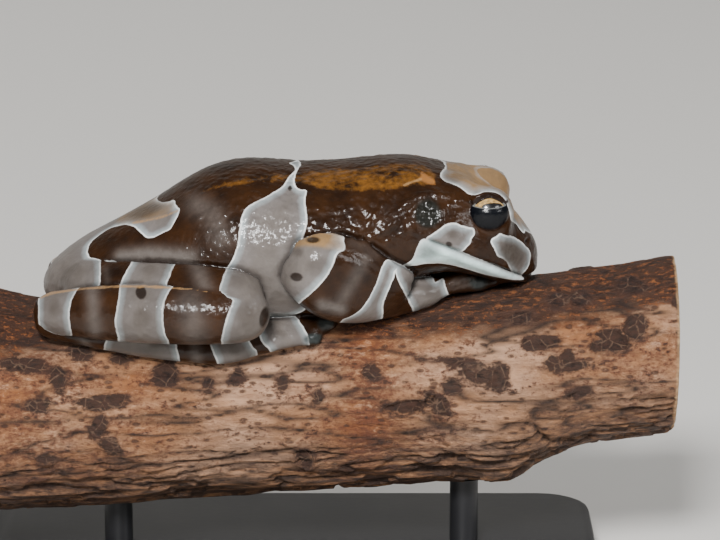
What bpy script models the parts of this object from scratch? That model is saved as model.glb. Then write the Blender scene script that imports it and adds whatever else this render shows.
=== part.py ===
"""A life-size Amazon milk frog, crouched on a short cut length of branch that a plain display stand carries.

Sizes here are in millimetres, and mesh_object turns them into metres. +X is the way the frog faces, +Y is its left
side and +Z is up. The frog and its branch are laid out from a datum on the branch's middle line, and are lifted by
DATUM_HEIGHT, so that the stand's base rests on the floor at the origin.
"""

import math

import bmesh
import bpy
import numpy as np
from mathutils import Matrix, Vector

MM = 0.001
GAP = 0.3  # kept between neighbouring pieces
RIGHT, LEFT = -1, 1  # the sign of Y on each side of the frog
SIDE_NAMES = {RIGHT: "right", LEFT: "left"}

# Display stand
BASE_LENGTH, BASE_WIDTH, BASE_THICKNESS = 96.0, 56.0, 5.0
BASE_CORNER = 8.0
BASE_EDGE = 1.0
ROD_RADIUS = 2.2
ROD_REACH = 27.0  # from the middle of the base to each rod
ROD_SIDES = 24
DATUM_HEIGHT = 30.0

# Branch
PERCH_LENGTH = 118.0
PERCH_RINGS = 30
PERCH_SIDES = 24
PERCH_SLOPE, PERCH_BOW = 0.080, 0.00088
PERCH_RADIUS, PERCH_TAPER = 15.1, 0.030
# Each swelling: place along X, angle round the branch (0 is up, 180 is down), height, length, width in degrees
PERCH_SWELLINGS = (
    (-58.0, 60.0, 1.6, 12.0, 120.0),
    (-50.0, -30.0, 1.5, 7.0, 60.0),
    (20.0, 170.0, 1.6, 15.0, 60.0),
    (33.0, 165.0, 2.6, 6.0, 55.0),
    (62.0, 20.0, 1.0, 10.0, 90.0),
)

# The trunk and head, station by station from vent to snout: place along X, height of the top, of the widest level
# and of the underside, half the width, and how full the upper and lower halves are (2 is an ellipse)
TRUNK = (
    (-37.9, 18.0, 17.3, 16.6, 1.0, 2.0, 2.0),
    (-37.2, 19.5, 17.8, 15.4, 3.2, 2.0, 2.0),
    (-35.3, 21.7, 18.6, 14.2, 6.0, 2.0, 2.0),
    (-31.3, 24.6, 19.5, 12.8, 8.8, 2.0, 2.0),
    (-26.2, 27.3, 20.6, 12.0, 10.8, 2.0, 2.0),
    (-20.0, 30.8, 22.0, 11.5, 12.8, 2.0, 2.0),
    (-13.5, 34.9, 23.2, 11.2, 14.4, 2.0, 2.0),
    (-7.0, 36.6, 24.2, 11.2, 15.4, 2.1, 2.0),
    (1.0, 36.0, 24.8, 11.5, 15.6, 2.1, 2.0),
    (8.5, 36.3, 25.5, 12.3, 15.0, 2.1, 1.9),
    (14.5, 37.0, 26.2, 15.0, 13.9, 2.2, 1.8),
    (19.0, 36.9, 26.8, 18.9, 13.1, 2.3, 2.0),
    (23.5, 35.7, 26.8, 20.4, 12.7, 2.5, 2.2),
    (28.0, 33.6, 26.0, 19.8, 11.7, 2.6, 2.3),
    (31.5, 31.4, 24.8, 18.8, 9.9, 2.5, 2.3),
    (34.5, 28.5, 23.4, 17.9, 7.4, 2.3, 2.1),
    (36.5, 25.8, 22.4, 18.4, 4.9, 2.1, 2.0),
    (37.6, 23.9, 21.9, 19.8, 2.6, 2.0, 2.0),
    (37.9, 22.6, 21.7, 20.8, 1.0, 2.0, 2.0),
)
TRUNK_SIDES = 26
LIMB_SIDES = 12
SMALL_SIDES = 8
NECK_X, NECK_LEAN = 17.0, 12.0  # where the head meets the torso, and the cut's lean from upright in degrees
WAIST_X = -12.0  # where the torso meets the hips
TRUNK_CUT_LEVEL = 24.0  # the height over the datum at which those two places are measured

# Head
EYE_CENTRE = (30.0, 8.0, 30.5)
EYE_RADIUS = 3.3
LID_THICKNESS = 0.55
LID_OPENING_HALF_WIDTH = 54.0  # degrees round the eye to each corner
LID_CORNER_HEIGHT = 25.0  # degrees over the eye's level
UPPER_LID_RISE, LOWER_LID_DROP = 24.0, 4.0  # degrees at the opening's middle
MOUTH_CORNER_X, MOUTH_CORNER_Z = 20.6, 27.5
MOUTH_SLOPE, MOUTH_BEND = 0.40, 0.0075
MOUTH_TIP_X = 36.3
MOUTH_GROOVE = 0.4
LIP_RADIUS, LIP_RISE, LIP_SINK = 0.9, 0.95, 0.6
NOSTRIL_X, NOSTRIL_Z = 36.2, 25.2
NOSTRIL_RADIUS = 0.5
EARDRUM_X, EARDRUM_Z = 20.9, 31.2
EARDRUM_RADIUS, EARDRUM_RIM = 1.75, 0.36

# Limbs: for each joint its place along X, distance from the middle plane, height, and half thicknesses sideways and up
THIGH = (
    (-30.0, 6.5, 18.4, 4.8, 4.6),
    (-24.0, 11.0, 18.6, 5.0, 5.1),
    (-15.0, 14.6, 18.7, 4.8, 5.2),
    (-7.6, 17.0, 18.8, 4.2, 4.7),
)
SHANK = (
    (-6.8, 18.0, 17.2, 4.2, 4.3),
    (-14.0, 18.2, 17.2, 4.3, 4.5),
    (-23.0, 16.8, 17.0, 4.0, 4.4),
    (-30.0, 14.4, 16.5, 3.5, 3.8),
    (-35.8, 12.0, 16.0, 2.8, 3.0),
)
UPPER_ARM = (
    (15.5, 10.5, 20.8, 3.4, 3.6),
    (9.5, 14.0, 24.0, 3.9, 4.1),
    (4.2, 16.2, 24.7, 3.9, 4.2),
)
FOREARM = (
    (3.0, 16.2, 22.6, 4.0, 4.0),
    (6.5, 14.2, 20.2, 4.5, 4.8),
    (11.0, 11.0, 18.6, 4.4, 4.5),
    (15.2, 8.8, 17.5, 3.1, 3.0),
)
# Feet and hands lie on the bark: place along X, degrees down the branch's side, height over the bark, half thicknesses
TARSUS = (
    (-36.0, 36.0, 3.4, 2.4, 2.4),
    (-32.0, 37.5, 2.6, 2.4, 2.4),
    (-23.7, 43.0, 2.2, 2.4, 2.2),
    (-13.5, 48.5, 2.0, 2.4, 2.0),
    (-9.0, 49.5, 1.9, 2.4, 1.9),
    (-4.8, 45.5, 1.8, 2.3, 1.8),
    (-1.5, 41.0, 1.6, 2.1, 1.6),
)
PALM = (
    (14.2, 28.0, 2.9, 3.1, 2.8),
    (18.0, 23.0, 2.7, 3.2, 2.6),
    (21.0, 20.0, 2.3, 2.9, 2.2),
)
# Where the digits leave the foot or hand, as above, and where each one ends, from the innermost out
TOE_ROOT = (-4.0, 43.8, 1.6)
TOE_TIPS = ((-3.5, 29.0), (0.5, 26.5), (4.2, 29.0), (6.0, 35.4), (3.6, 44.4))
TOE_SPREAD = 0.75  # between the roots of neighbouring digits
FINGER_ROOT = (18.5, 22.5, 2.4)
FINGER_TIPS = ((23.6, 9.5), (28.0, 8.8), (31.0, 8.8), (29.0, 12.4))
FINGER_SPREAD = 0.95
DIGIT_RADIUS = 1.15
DIGIT_SIDES = 6
DISC_RADIUS, DISC_THICKNESS = 1.6, 1.5
KNUCKLE_RISE = 0.7
WEB_THICKNESS = 0.6
WEB_REACH = 0.55  # of the way to the toes' tips


def curve_through(rows, per_gap):
    """Points of a smooth curve (Catmull-Rom) that passes through every row, per_gap of them for each gap."""
    rows = np.asarray(rows, float)
    first, last = 2 * rows[0] - rows[1], 2 * rows[-1] - rows[-2]
    rows = np.vstack([first, rows, last])
    points = []
    for a, b, c, d in zip(rows, rows[1:], rows[2:], rows[3:]):
        for step in range(per_gap):
            t = step / per_gap
            points.append(
                0.5 * (2 * b + (c - a) * t + (2 * a - 5 * b + 4 * c - d) * t**2 + (3 * b - a - 3 * c + d) * t**3)
            )
    points.append(rows[-2])
    return np.array(points)


def mesh_object(name, bm):
    """A closed object from a bmesh in millimetres, its faces turned outwards."""
    bmesh.ops.recalc_face_normals(bm, faces=bm.faces)
    bmesh.ops.scale(bm, vec=(MM, MM, MM), verts=bm.verts)
    mesh = bpy.data.meshes.new(name)
    bm.to_mesh(mesh)
    bm.free()
    obj = bpy.data.objects.new(name, mesh)
    bpy.context.scene.collection.objects.link(obj)
    return obj


def lofted(name, rings):
    """A closed body through rings of points, its two ends closed by a fan."""
    bm = bmesh.new()
    loops = [[bm.verts.new(point) for point in ring] for ring in rings]
    for near, far in zip(loops, loops[1:]):
        for i in range(len(near)):
            bm.faces.new((near[i - 1], near[i], far[i], far[i - 1]))
    ends = [bm.faces.new(loops[0]), bm.faces.new(loops[-1])]
    bmesh.ops.poke(bm, faces=ends)
    return mesh_object(name, bm)


def oval_ring(centre, along, side_radius, up_radius, sides, up=Vector((0, 0, 1))):
    """A ring round centre, square to the direction along. Its second half thickness lies as near up as it can."""
    along = Vector(along).normalized()
    across = along.cross(up).normalized()
    upward = across.cross(along)
    angles = [2 * math.pi * i / sides for i in range(sides)]
    return [
        Vector(centre) + across * side_radius * math.cos(angle) + upward * up_radius * math.sin(angle)
        for angle in angles
    ]


def tube(name, stations, sides, cap_steps=2, up=Vector((0, 0, 1))):
    """A round-ended limb through stations of x, y, z and half thicknesses sideways and up."""
    centres = [Vector(row[:3]) for row in stations]
    directions = [(b - a).normalized() for a, b in zip(centres, centres[1:])]
    directions = [directions[0], *[(a + b).normalized() for a, b in zip(directions, directions[1:])], directions[-1]]
    rings = []
    for end, sign in ((0, -1), (-1, 1)):
        cap = []
        side_radius, up_radius = stations[end][3:5]
        for step in range(1, cap_steps + 1):
            angle = math.radians(78 * step / cap_steps)
            reach = sign * math.sin(angle) * min(side_radius, up_radius)
            centre = centres[end] + directions[end] * reach
            shrink = math.cos(angle)
            cap.append(oval_ring(centre, directions[end], side_radius * shrink, up_radius * shrink, sides, up))
        if end == 0:
            rings.extend(reversed(cap))
            rings.extend(
                oval_ring(centre, along, row[3], row[4], sides, up)
                for centre, along, row in zip(centres, directions, stations)
            )
        else:
            rings.extend(cap)
    return lofted(name, rings)


def use_mesh_of(obj, changed):
    """Gives obj the mesh that its modifiers make, and drops them."""
    bpy.context.view_layer.update()
    graph = bpy.context.evaluated_depsgraph_get()
    mesh = bpy.data.meshes.new_from_object(changed.evaluated_get(graph))
    obj.modifiers.clear()
    obj.data = mesh


def joined(name, pieces):
    """One closed body from closed pieces that overlap."""
    first, rest = pieces[0], pieces[1:]
    group = bpy.data.collections.new(name + "_pieces")
    for piece in rest:
        group.objects.link(piece)
    union = first.modifiers.new("join", "BOOLEAN")
    union.operation, union.operand_type, union.solver = "UNION", "COLLECTION", "EXACT"
    union.collection = group
    use_mesh_of(first, first)
    for piece in rest:
        bpy.data.objects.remove(piece)
    bpy.data.collections.remove(group)
    first.name = name
    return keep_largest(first)


def cut(obj, cutters):
    """Takes the cutters' shapes out of obj. The cutters stay."""
    for cutter in cutters:
        difference = obj.modifiers.new("cut", "BOOLEAN")
        difference.operation, difference.solver = "DIFFERENCE", "EXACT"
        difference.object = cutter
    use_mesh_of(obj, obj)
    return keep_largest(obj)


def signed_volume(faces):
    """Six times the volume that faces enclose."""
    total = 0.0
    for face in faces:
        a = face.verts[0].co
        for b, c in zip(face.verts[1:], face.verts[2:]):
            total += a.dot(b.co.cross(c.co))
    return total


def keep_largest(obj):
    """Leaves only the largest closed surface, so that a node is one body."""
    bm = bmesh.new()
    bm.from_mesh(obj.data)
    bmesh.ops.triangulate(bm, faces=bm.faces)
    waiting, groups = set(bm.faces), []
    while waiting:
        group, edge_of_group = set(), [waiting.pop()]
        while edge_of_group:
            face = edge_of_group.pop()
            group.add(face)
            near = {other for edge in face.edges for other in edge.link_faces} & waiting
            waiting -= near
            edge_of_group.extend(near)
        groups.append(group)
    largest = max(groups, key=signed_volume)
    bmesh.ops.delete(bm, geom=[face for group in groups if group is not largest for face in group], context="FACES")
    bm.to_mesh(obj.data)
    bm.free()
    return obj


def swollen(obj, by=GAP):
    """A hidden copy of obj, its surface moved outwards, that cuts its neighbours clear of it."""
    copy = bpy.data.objects.new(obj.name + "_clearance", obj.data.copy())
    bpy.context.scene.collection.objects.link(copy)
    copy.hide_render = True
    copy.display_type = "WIRE"
    bm = bmesh.new()
    bm.from_mesh(copy.data)
    bm.normal_update()
    moved = [vertex.co + vertex.normal * by * MM * min(vertex.calc_shell_factor(), 1.5) for vertex in bm.verts]
    for vertex, place in zip(bm.verts, moved):
        vertex.co = place
    bm.to_mesh(copy.data)
    bm.free()
    return copy


def split_at(obj, x, lean_degrees, name_behind, name_ahead):
    """Parts obj in two with a thin upright cut at x, and returns the pieces behind it and ahead of it."""
    normal = Vector((math.cos(math.radians(lean_degrees)), 0, math.sin(math.radians(lean_degrees))))
    middle = Vector((x, 0, TRUNK_CUT_LEVEL))
    pieces = []
    for name, sign in ((name_behind, -1), (name_ahead, 1)):
        bm = bmesh.new()
        bm.from_mesh(obj.data)
        geometry = [*bm.verts, *bm.edges, *bm.faces]
        result = bmesh.ops.bisect_plane(
            bm,
            geom=geometry,
            plane_co=(middle + normal * sign * GAP / 2) * MM,
            plane_no=normal * -sign,
            clear_outer=True,
        )
        rim = [item for item in result["geom_cut"] if isinstance(item, bmesh.types.BMEdge)]
        bmesh.ops.triangle_fill(bm, edges=rim, use_beauty=True)
        bmesh.ops.scale(bm, vec=(1 / MM, 1 / MM, 1 / MM), verts=bm.verts)
        pieces.append(keep_largest(mesh_object(name, bm)))
    bpy.data.objects.remove(obj)
    return pieces


# Branch and stand


def perch_height(x):
    """Height of the branch's middle line over the datum."""
    return PERCH_SLOPE * x + PERCH_BOW * x * x


def perch_radius(x, angle):
    """Radius of the branch at x, at an angle in degrees from the top towards the frog's right."""
    radius = PERCH_RADIUS - PERCH_TAPER * x
    for place, middle, height, length, width in PERCH_SWELLINGS:
        turn = (angle - middle + 180) % 360 - 180
        radius += height * math.exp(-(((x - place) / length) ** 2) - (turn / width) ** 2)
    return radius + 0.18 * math.sin(0.21 * x + math.radians(3 * angle))


def on_perch(x, angle, lift, side):
    """A point at lift over the bark, angle degrees from the top down the given side."""
    reach = perch_radius(x, -side * angle) + lift
    return Vector((x, side * reach * math.sin(math.radians(angle)), perch_height(x) + reach * math.cos(math.radians(angle))))


def away_from_perch(point):
    """The direction square to the bark under a point."""
    return Vector((0, point[1], point[2] - perch_height(point[0]))).normalized()


def build_perch():
    """The cut length of branch."""
    rings = []
    for i in range(PERCH_RINGS):
        x = PERCH_LENGTH * (i / (PERCH_RINGS - 1) - 0.5)
        angles = [360 * j / PERCH_SIDES for j in range(PERCH_SIDES)]
        rings.append([on_perch(x, angle, 0, RIGHT) for angle in angles])
    return lofted("perch", rings)


def build_stand(perch_clearance):
    """The base plate with its two rods, each cut to the underside of the branch."""
    bm = bmesh.new()
    bmesh.ops.create_cube(bm, size=1)
    bmesh.ops.scale(bm, vec=(BASE_LENGTH, BASE_WIDTH, BASE_THICKNESS), verts=bm.verts)
    bmesh.ops.translate(bm, vec=(0, 0, BASE_THICKNESS / 2 - DATUM_HEIGHT), verts=bm.verts)
    upright = [edge for edge in bm.edges if abs(edge.verts[0].co.z - edge.verts[1].co.z) > BASE_THICKNESS / 2]
    bmesh.ops.bevel(bm, geom=upright, offset=BASE_CORNER, affect="EDGES", segments=6, profile=0.5, material=-1)
    rim = [edge for edge in bm.edges if all(v.co.z > BASE_THICKNESS / 2 - DATUM_HEIGHT for v in edge.verts)]
    bmesh.ops.bevel(bm, geom=rim, offset=BASE_EDGE, affect="EDGES", segments=2, profile=0.5, material=-1)
    base = mesh_object("stand_base", bm)
    rods = []
    for name, x in (("stand_rod_rear", -ROD_REACH), ("stand_rod_front", ROD_REACH)):
        low, high = BASE_THICKNESS - DATUM_HEIGHT + GAP, perch_height(x)
        bm = bmesh.new()
        bmesh.ops.create_cone(
            bm, cap_ends=True, segments=ROD_SIDES, radius1=ROD_RADIUS, radius2=ROD_RADIUS, depth=high - low
        )
        bmesh.ops.translate(bm, vec=(x, 0, (low + high) / 2), verts=bm.verts)
        rods.append(cut(mesh_object(name, bm), [perch_clearance]))
    return [base, *rods]


# Trunk and head


def trunk_ring(row):
    """The section through one of the trunk's stations, from its top round its left side."""
    x, top, wide, under, half, upper, lower = row
    ring = []
    for i in range(TRUNK_SIDES):
        angle = 2 * math.pi * i / TRUNK_SIDES
        s, c = math.sin(angle), math.cos(angle)
        full, height = (upper, top - wide) if c >= 0 else (lower, wide - under)
        y = math.copysign(abs(s) ** (2 / full), s) * half
        z = wide + math.copysign(abs(c) ** (2 / full), c) * height
        ring.append((x, y, z))
    return ring


def trunk_row(x):
    """The trunk's station at x, read from its smooth curve."""
    rows = curve_through(TRUNK, 12)
    return [float(np.interp(x, rows[:, 0], rows[:, column])) for column in range(rows.shape[1])]


def trunk_half_width(x, z):
    """How far the trunk's surface is from the middle plane at x, at the height z."""
    _, top, wide, under, half, upper, lower = trunk_row(x)
    full, share = (upper, (z - wide) / (top - wide)) if z > wide else (lower, (wide - z) / (wide - under))
    return half * max(0.0, 1 - abs(share) ** full) ** (1 / full)


def trunk_normal(x, z, side):
    """The direction square to the trunk's surface at x, at the height z."""
    step = 0.3
    here = trunk_half_width(x, z)
    along = Vector((step, side * (trunk_half_width(x + step, z) - here), 0))
    upward = Vector((0, side * (trunk_half_width(x, z + step) - here), step))
    return (along.cross(upward) * -side).normalized()


def eye_point(side, azimuth, elevation, reach):
    """A point at reach from the eye's centre. Azimuth turns forwards from square to the head's side."""
    a, e = math.radians(azimuth), math.radians(elevation)
    x, y, z = EYE_CENTRE
    return Vector(
        (x + reach * math.cos(e) * math.sin(a), side * (y + reach * math.cos(e) * math.cos(a)), z + reach * math.sin(e))
    )


def ball(name, centre, radius, detail=3):
    """A round ball."""
    bm = bmesh.new()
    bmesh.ops.create_icosphere(bm, subdivisions=detail, radius=radius)
    bmesh.ops.translate(bm, vec=centre, verts=bm.verts)
    return mesh_object(name, bm)


def lid_opening(side):
    """The lens-shaped slot between the lids, as a cutter that stops inside the eyeball."""
    rings = []
    steps = 10
    for i in range(steps + 1):
        share = 2 * i / steps - 1
        azimuth = LID_OPENING_HALF_WIDTH * share
        arch = max(0.04, 1 - share * share)
        low = LID_CORNER_HEIGHT - LOWER_LID_DROP * arch
        high = LID_CORNER_HEIGHT + UPPER_LID_RISE * arch
        inner, outer = EYE_RADIUS - 0.8, EYE_RADIUS + 3.0
        corners = ((inner, low), (outer, low), (outer, high), (inner, high))
        rings.append([eye_point(side, azimuth, elevation, reach) for reach, elevation in corners])
    return lofted("lid_opening", rings)


def mouth_point(x, side, rise=0.0, proud=0.0):
    """A point on the line of the mouth at x, raised along the face and moved out from it."""
    z = MOUTH_CORNER_Z - MOUTH_SLOPE * (x - MOUTH_CORNER_X) - MOUTH_BEND * (x - MOUTH_CORNER_X) ** 2 + rise
    return Vector((x, side * trunk_half_width(x, z), z)) + trunk_normal(x, z, side) * proud


def mouth_path(rise=0.0, proud=0.0, steps=7):
    """The line of the mouth, from the right corner round the snout to the left one."""
    places = [
        MOUTH_CORNER_X + (MOUTH_TIP_X - MOUTH_CORNER_X) * math.sin(math.radians(90 * i / steps)) for i in range(steps + 1)
    ]
    right = [mouth_point(x, RIGHT, rise, proud) for x in places]
    left = [mouth_point(x, LEFT, rise, proud) for x in reversed(places)]
    return [*right, *left]


def lip(name, rise, radius, proud):
    """A thin tube along the line of the mouth."""
    path = mouth_path(rise, proud)
    return tube(name, [(*point, radius, radius) for point in path], DIGIT_SIDES, cap_steps=1)


def eardrum(side):
    """The raised ring round the eardrum, lying on the side of the head."""
    y = trunk_half_width(EARDRUM_X, EARDRUM_Z)
    normal = trunk_normal(EARDRUM_X, EARDRUM_Z, side)
    turn = normal.to_track_quat("Z", "Y").to_matrix().to_4x4()
    place = Matrix.Translation((EARDRUM_X, side * y, EARDRUM_Z)) @ turn
    bm = bmesh.new()
    profile = [
        bm.verts.new((EARDRUM_RADIUS + EARDRUM_RIM * math.cos(a), 0, EARDRUM_RIM * math.sin(a)))
        for a in (2 * math.pi * i / DIGIT_SIDES for i in range(DIGIT_SIDES))
    ]
    edges = [bm.edges.new((a, b)) for a, b in zip(profile, [*profile[1:], profile[0]])]
    bmesh.ops.spin(
        bm, geom=[*profile, *edges], axis=(0, 0, 1), cent=(0, 0, 0), angle=2 * math.pi, steps=12, use_merge=True
    )
    bmesh.ops.remove_doubles(bm, verts=bm.verts, dist=0.01)
    bmesh.ops.transform(bm, matrix=place, verts=bm.verts)
    return mesh_object("eardrum", bm)


def build_trunk(perch_clearance):
    """The hips, torso and head, parted by thin cuts, with the head's lids, lips, nostrils and eardrum rings."""
    rows = curve_through(TRUNK, 2)
    trunk = lofted("trunk", [trunk_ring(row) for row in rows])
    body, head = split_at(trunk, NECK_X, -NECK_LEAN, "body", "head")
    hips, torso = split_at(body, WAIST_X, 0, "hips", "torso")
    additions = [lip("upper_lip", LIP_RISE, LIP_RADIUS, -LIP_SINK), lip("lower_lip", -LIP_RISE, LIP_RADIUS, -LIP_SINK)]
    cutters = [lip("mouth_line", 0, MOUTH_GROOVE, 0.0)]
    for side in (RIGHT, LEFT):
        centre = eye_point(side, 0, 0, 0)
        additions.append(ball("lids", centre, EYE_RADIUS + GAP + LID_THICKNESS))
        additions.append(eardrum(side))
        cutters.append(ball("socket", centre, EYE_RADIUS + GAP))
        cutters.append(lid_opening(side))
        nostril = (NOSTRIL_X, side * trunk_half_width(NOSTRIL_X, NOSTRIL_Z), NOSTRIL_Z)
        cutters.append(ball("nostril", nostril, NOSTRIL_RADIUS, 2))
    head = joined("head", [head, *additions])
    cut(head, [*cutters, perch_clearance])
    for cutter in cutters:
        bpy.data.objects.remove(cutter)
    cut(torso, [perch_clearance])
    cut(hips, [perch_clearance])
    eyes = [ball("eye_" + SIDE_NAMES[side], eye_point(side, 0, 0, 0), EYE_RADIUS) for side in (RIGHT, LEFT)]
    return hips, torso, head, eyes


# Limbs


def limb(name, stations, side, per_gap=2):
    """A limb's segment on one side of the frog."""
    rows = curve_through(stations, per_gap)
    rows[:, 1] *= side
    return tube(name, rows.tolist(), LIMB_SIDES)


def bark_limb(name, stations, side, per_gap=2):
    """A segment that lies along the bark, from stations in the branch's own terms."""
    rows = []
    for x, angle, lift, across, up in curve_through(stations, per_gap):
        rows.append((*on_perch(x, angle, lift, side), across, up))
    middle = rows[len(rows) // 2]
    return tube(name, rows, SMALL_SIDES, up=away_from_perch(middle))


def digit_path(root, offset, tip, side, share=1.0, steps=3):
    """Points along a finger or toe that lies on the bark, or along the given share of it."""
    x, angle, lift = root
    angle -= math.degrees(offset / perch_radius(x, -side * angle))
    points = []
    for step in range(steps + 1):
        t = share * step / steps
        height = lift + (GAP + DISC_THICKNESS / 2 - lift) * t + KNUCKLE_RISE * math.sin(math.pi * t)
        points.append(on_perch(x + (tip[0] - x) * t, angle + (tip[1] - angle) * t, height, side))
    return points


def digit(path):
    """A finger or toe along its path, with its round adhesive disc."""
    up = away_from_perch(path[-1])
    rows = [(*point, DIGIT_RADIUS * 1.1, DIGIT_RADIUS) for point in path]
    stem = tube("stem", rows, DIGIT_SIDES, cap_steps=1, up=up)
    along = (path[-1] - path[-2]).normalized()
    turn = Matrix((along, up.cross(along), up)).transposed().to_4x4()
    bm = bmesh.new()
    bmesh.ops.create_icosphere(bm, subdivisions=2, radius=1)
    bmesh.ops.scale(bm, vec=(DISC_RADIUS, DISC_RADIUS, DISC_THICKNESS / 2), verts=bm.verts)
    bmesh.ops.transform(bm, matrix=Matrix.Translation(path[-1]) @ turn, verts=bm.verts)
    return [stem, mesh_object("disc", bm)]


def web(inner, outer):
    """The thin skin between two neighbouring toes."""
    rings = []
    for a, b in zip(inner, outer):
        thick = away_from_perch((a + b) / 2) * WEB_THICKNESS / 2
        rings.append([a - thick, b - thick, b + thick, a + thick])
    return lofted("web", rings)


def build_digits(root, tips, spread, side, webbed):
    """The toes or fingers of one foot or hand."""
    pieces = []
    offsets = [spread * ((len(tips) - 1) / 2 - i) for i in range(len(tips))]
    for offset, tip in zip(offsets, tips):
        pieces.extend(digit(digit_path(root, offset, tip, side)))
    if webbed:
        near = [digit_path(root, offset, tip, side, WEB_REACH) for offset, tip in zip(offsets, tips)]
        pieces.extend(web(inner, outer) for inner, outer in zip(near, near[1:]))
    return pieces


def build_limbs(side, trunk_pieces, perch_clearance):
    """One side's leg and arm, each segment cut clear of what it lies against."""
    end = "_" + SIDE_NAMES[side]
    hips, torso, head = (swollen(piece) for piece in trunk_pieces)
    nodes, clearances = [], [hips, torso, head, perch_clearance]

    def settle(obj):
        cut(obj, clearances)
        clearances.append(swollen(obj))
        nodes.append(obj)

    settle(limb("thigh" + end, THIGH, side))
    settle(limb("shank" + end, SHANK, side))
    tarsus = bark_limb("tarsus", TARSUS, side)
    settle(joined("foot" + end, [tarsus, *build_digits(TOE_ROOT, TOE_TIPS, TOE_SPREAD, side, True)]))
    settle(limb("upper_arm" + end, UPPER_ARM, side))
    settle(limb("forearm" + end, FOREARM, side))
    palm = bark_limb("palm", PALM, side)
    settle(joined("hand" + end, [palm, *build_digits(FINGER_ROOT, FINGER_TIPS, FINGER_SPREAD, side, False)]))
    for clearance in clearances:
        if clearance is not perch_clearance:
            bpy.data.objects.remove(clearance)
    return nodes


# Finish


def finish_material(name, hex_colour, roughness, metallic=0.0):
    """A plain material from an sRGB colour."""
    material = bpy.data.materials.new(name)
    material.use_nodes = True
    shader = material.node_tree.nodes["Principled BSDF"]
    values = [int(hex_colour[i : i + 2], 16) / 255 for i in (0, 2, 4)]
    linear = [v / 12.92 if v <= 0.04045 else ((v + 0.055) / 1.055) ** 2.4 for v in values]
    shader.inputs["Base Color"].default_value = (*linear, 1)
    shader.inputs["Roughness"].default_value = roughness
    shader.inputs["Metallic"].default_value = metallic
    return material


def dress(objects, material, smooth_angle=40):
    """Gives objects their material and smooth shading up to an angle in degrees."""
    for obj in objects:
        obj.data.materials.clear()
        obj.data.materials.append(material)
        obj.data.shade_smooth()
        obj.data.set_sharp_from_angle(angle=math.radians(smooth_angle))


def main():
    for obj in list(bpy.data.objects):
        bpy.data.objects.remove(obj)
    perch = build_perch()
    perch_clearance = swollen(perch)
    stand = build_stand(perch_clearance)
    hips, torso, head, eyes = build_trunk(perch_clearance)
    limbs = [node for side in (RIGHT, LEFT) for node in build_limbs(side, (hips, torso, head), perch_clearance)]
    bpy.data.objects.remove(perch_clearance)
    dress([hips, torso, head], finish_material("skin_dark_brown", "3D2416", 0.3))
    dress(limbs, finish_material("skin_pale_grey", "A9A8A0", 0.35))
    dress(eyes, finish_material("eye_gold_and_black", "2A241C", 0.08))
    dress([perch], finish_material("bark", "8A5A40", 0.85))
    dress(stand, finish_material("stand_black_steel", "202122", 0.45, 0.6))
    for obj in bpy.data.objects:
        obj.location.z = DATUM_HEIGHT * MM


main()
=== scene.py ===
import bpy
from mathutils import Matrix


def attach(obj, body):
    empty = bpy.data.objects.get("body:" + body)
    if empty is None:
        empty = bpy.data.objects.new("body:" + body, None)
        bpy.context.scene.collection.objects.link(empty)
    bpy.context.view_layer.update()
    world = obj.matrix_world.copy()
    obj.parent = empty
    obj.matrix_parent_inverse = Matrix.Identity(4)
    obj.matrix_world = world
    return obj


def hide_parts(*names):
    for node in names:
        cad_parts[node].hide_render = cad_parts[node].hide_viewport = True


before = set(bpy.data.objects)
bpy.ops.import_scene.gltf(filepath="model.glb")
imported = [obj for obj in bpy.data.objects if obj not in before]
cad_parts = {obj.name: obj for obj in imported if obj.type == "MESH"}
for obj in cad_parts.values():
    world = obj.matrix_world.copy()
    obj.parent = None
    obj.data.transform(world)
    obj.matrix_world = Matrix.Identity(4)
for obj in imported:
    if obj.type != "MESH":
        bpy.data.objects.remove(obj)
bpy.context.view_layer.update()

import math

import bmesh
import bpy
import numpy as np
from bpy.props import FloatProperty, FloatVectorProperty, PointerProperty
from mathutils import Matrix, Vector, noise
from mathutils.bvhtree import BVHTree

bl_info = {
    "name": "Amazon milk frog on a branch",
    "version": (1, 0, 0),
    "blender": (4, 5, 0),
    "location": "View3D > Sidebar > Milk Frog",
    "description": "Dresses the frog, its branch and its stand, and sets them on a pale studio floor",
    "category": "Object",
}

MM = 0.001
DATUM_HEIGHT = 30.0  # of the branch's middle line over the floor, in millimetres
SIDES = ("right", "left")
LIMB_PARTS = ("thigh", "shank", "foot", "upper_arm", "forearm", "hand")
TRUNK_PARTS = ("head", "torso", "hips")
FLESH = TRUNK_PARTS + tuple(f"{part}_{side}" for part in LIMB_PARTS for side in SIDES)
STAND_PARTS = ("stand_base", "stand_rod_front", "stand_rod_rear")

# Where the photograph was taken from, in millimetres and degrees
VIEW_HEIGHT_ANGLE = 14.0
VIEW_DISTANCE = 550.0
VIEW_TARGET = (10.77, 0.0, 49.48)
VIEW_WIDTH = 110.8  # seen across the frame at the target
FRAME_SIZE = (720, 540)
PIXELS_PER_MM = 6.5

# Head, in millimetres over the branch's middle line, as in the solids
EYE_CENTRE = (30.0, 8.0, 30.5)
EYE_RADIUS = 3.3
SOCKET_RADIUS = 6.2  # round the eye, within which the lids are formed
MOUTH_CORNER_X, MOUTH_CORNER_Z = 20.6, 27.5
MOUTH_SLOPE, MOUTH_BEND = 0.40, 0.0075
MOUTH_TIP_X = 36.3
LID_AXIS_RISE = 16.0  # degrees over level, of the line that the lids lie round
LID_OPENING_TURN = 6.0  # degrees forwards from straight out
LID_OPENING_HALF_WIDTH = 50.0
LID_CORNER_RISE = 25.0
UPPER_LID_RISE, LOWER_LID_DROP = 27.0, 3.0
UPPER_LID_RADIUS, LOWER_LID_RADIUS = 4.05, 3.62
LID_EDGE_RADIUS = EYE_RADIUS + 0.22
EARDRUM = (20.9, 31.2, 2.05)  # place along X, height, radius
NOSTRIL = (36.2, 25.2, 0.42)
FOLD_DEPTH = 0.75
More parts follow.
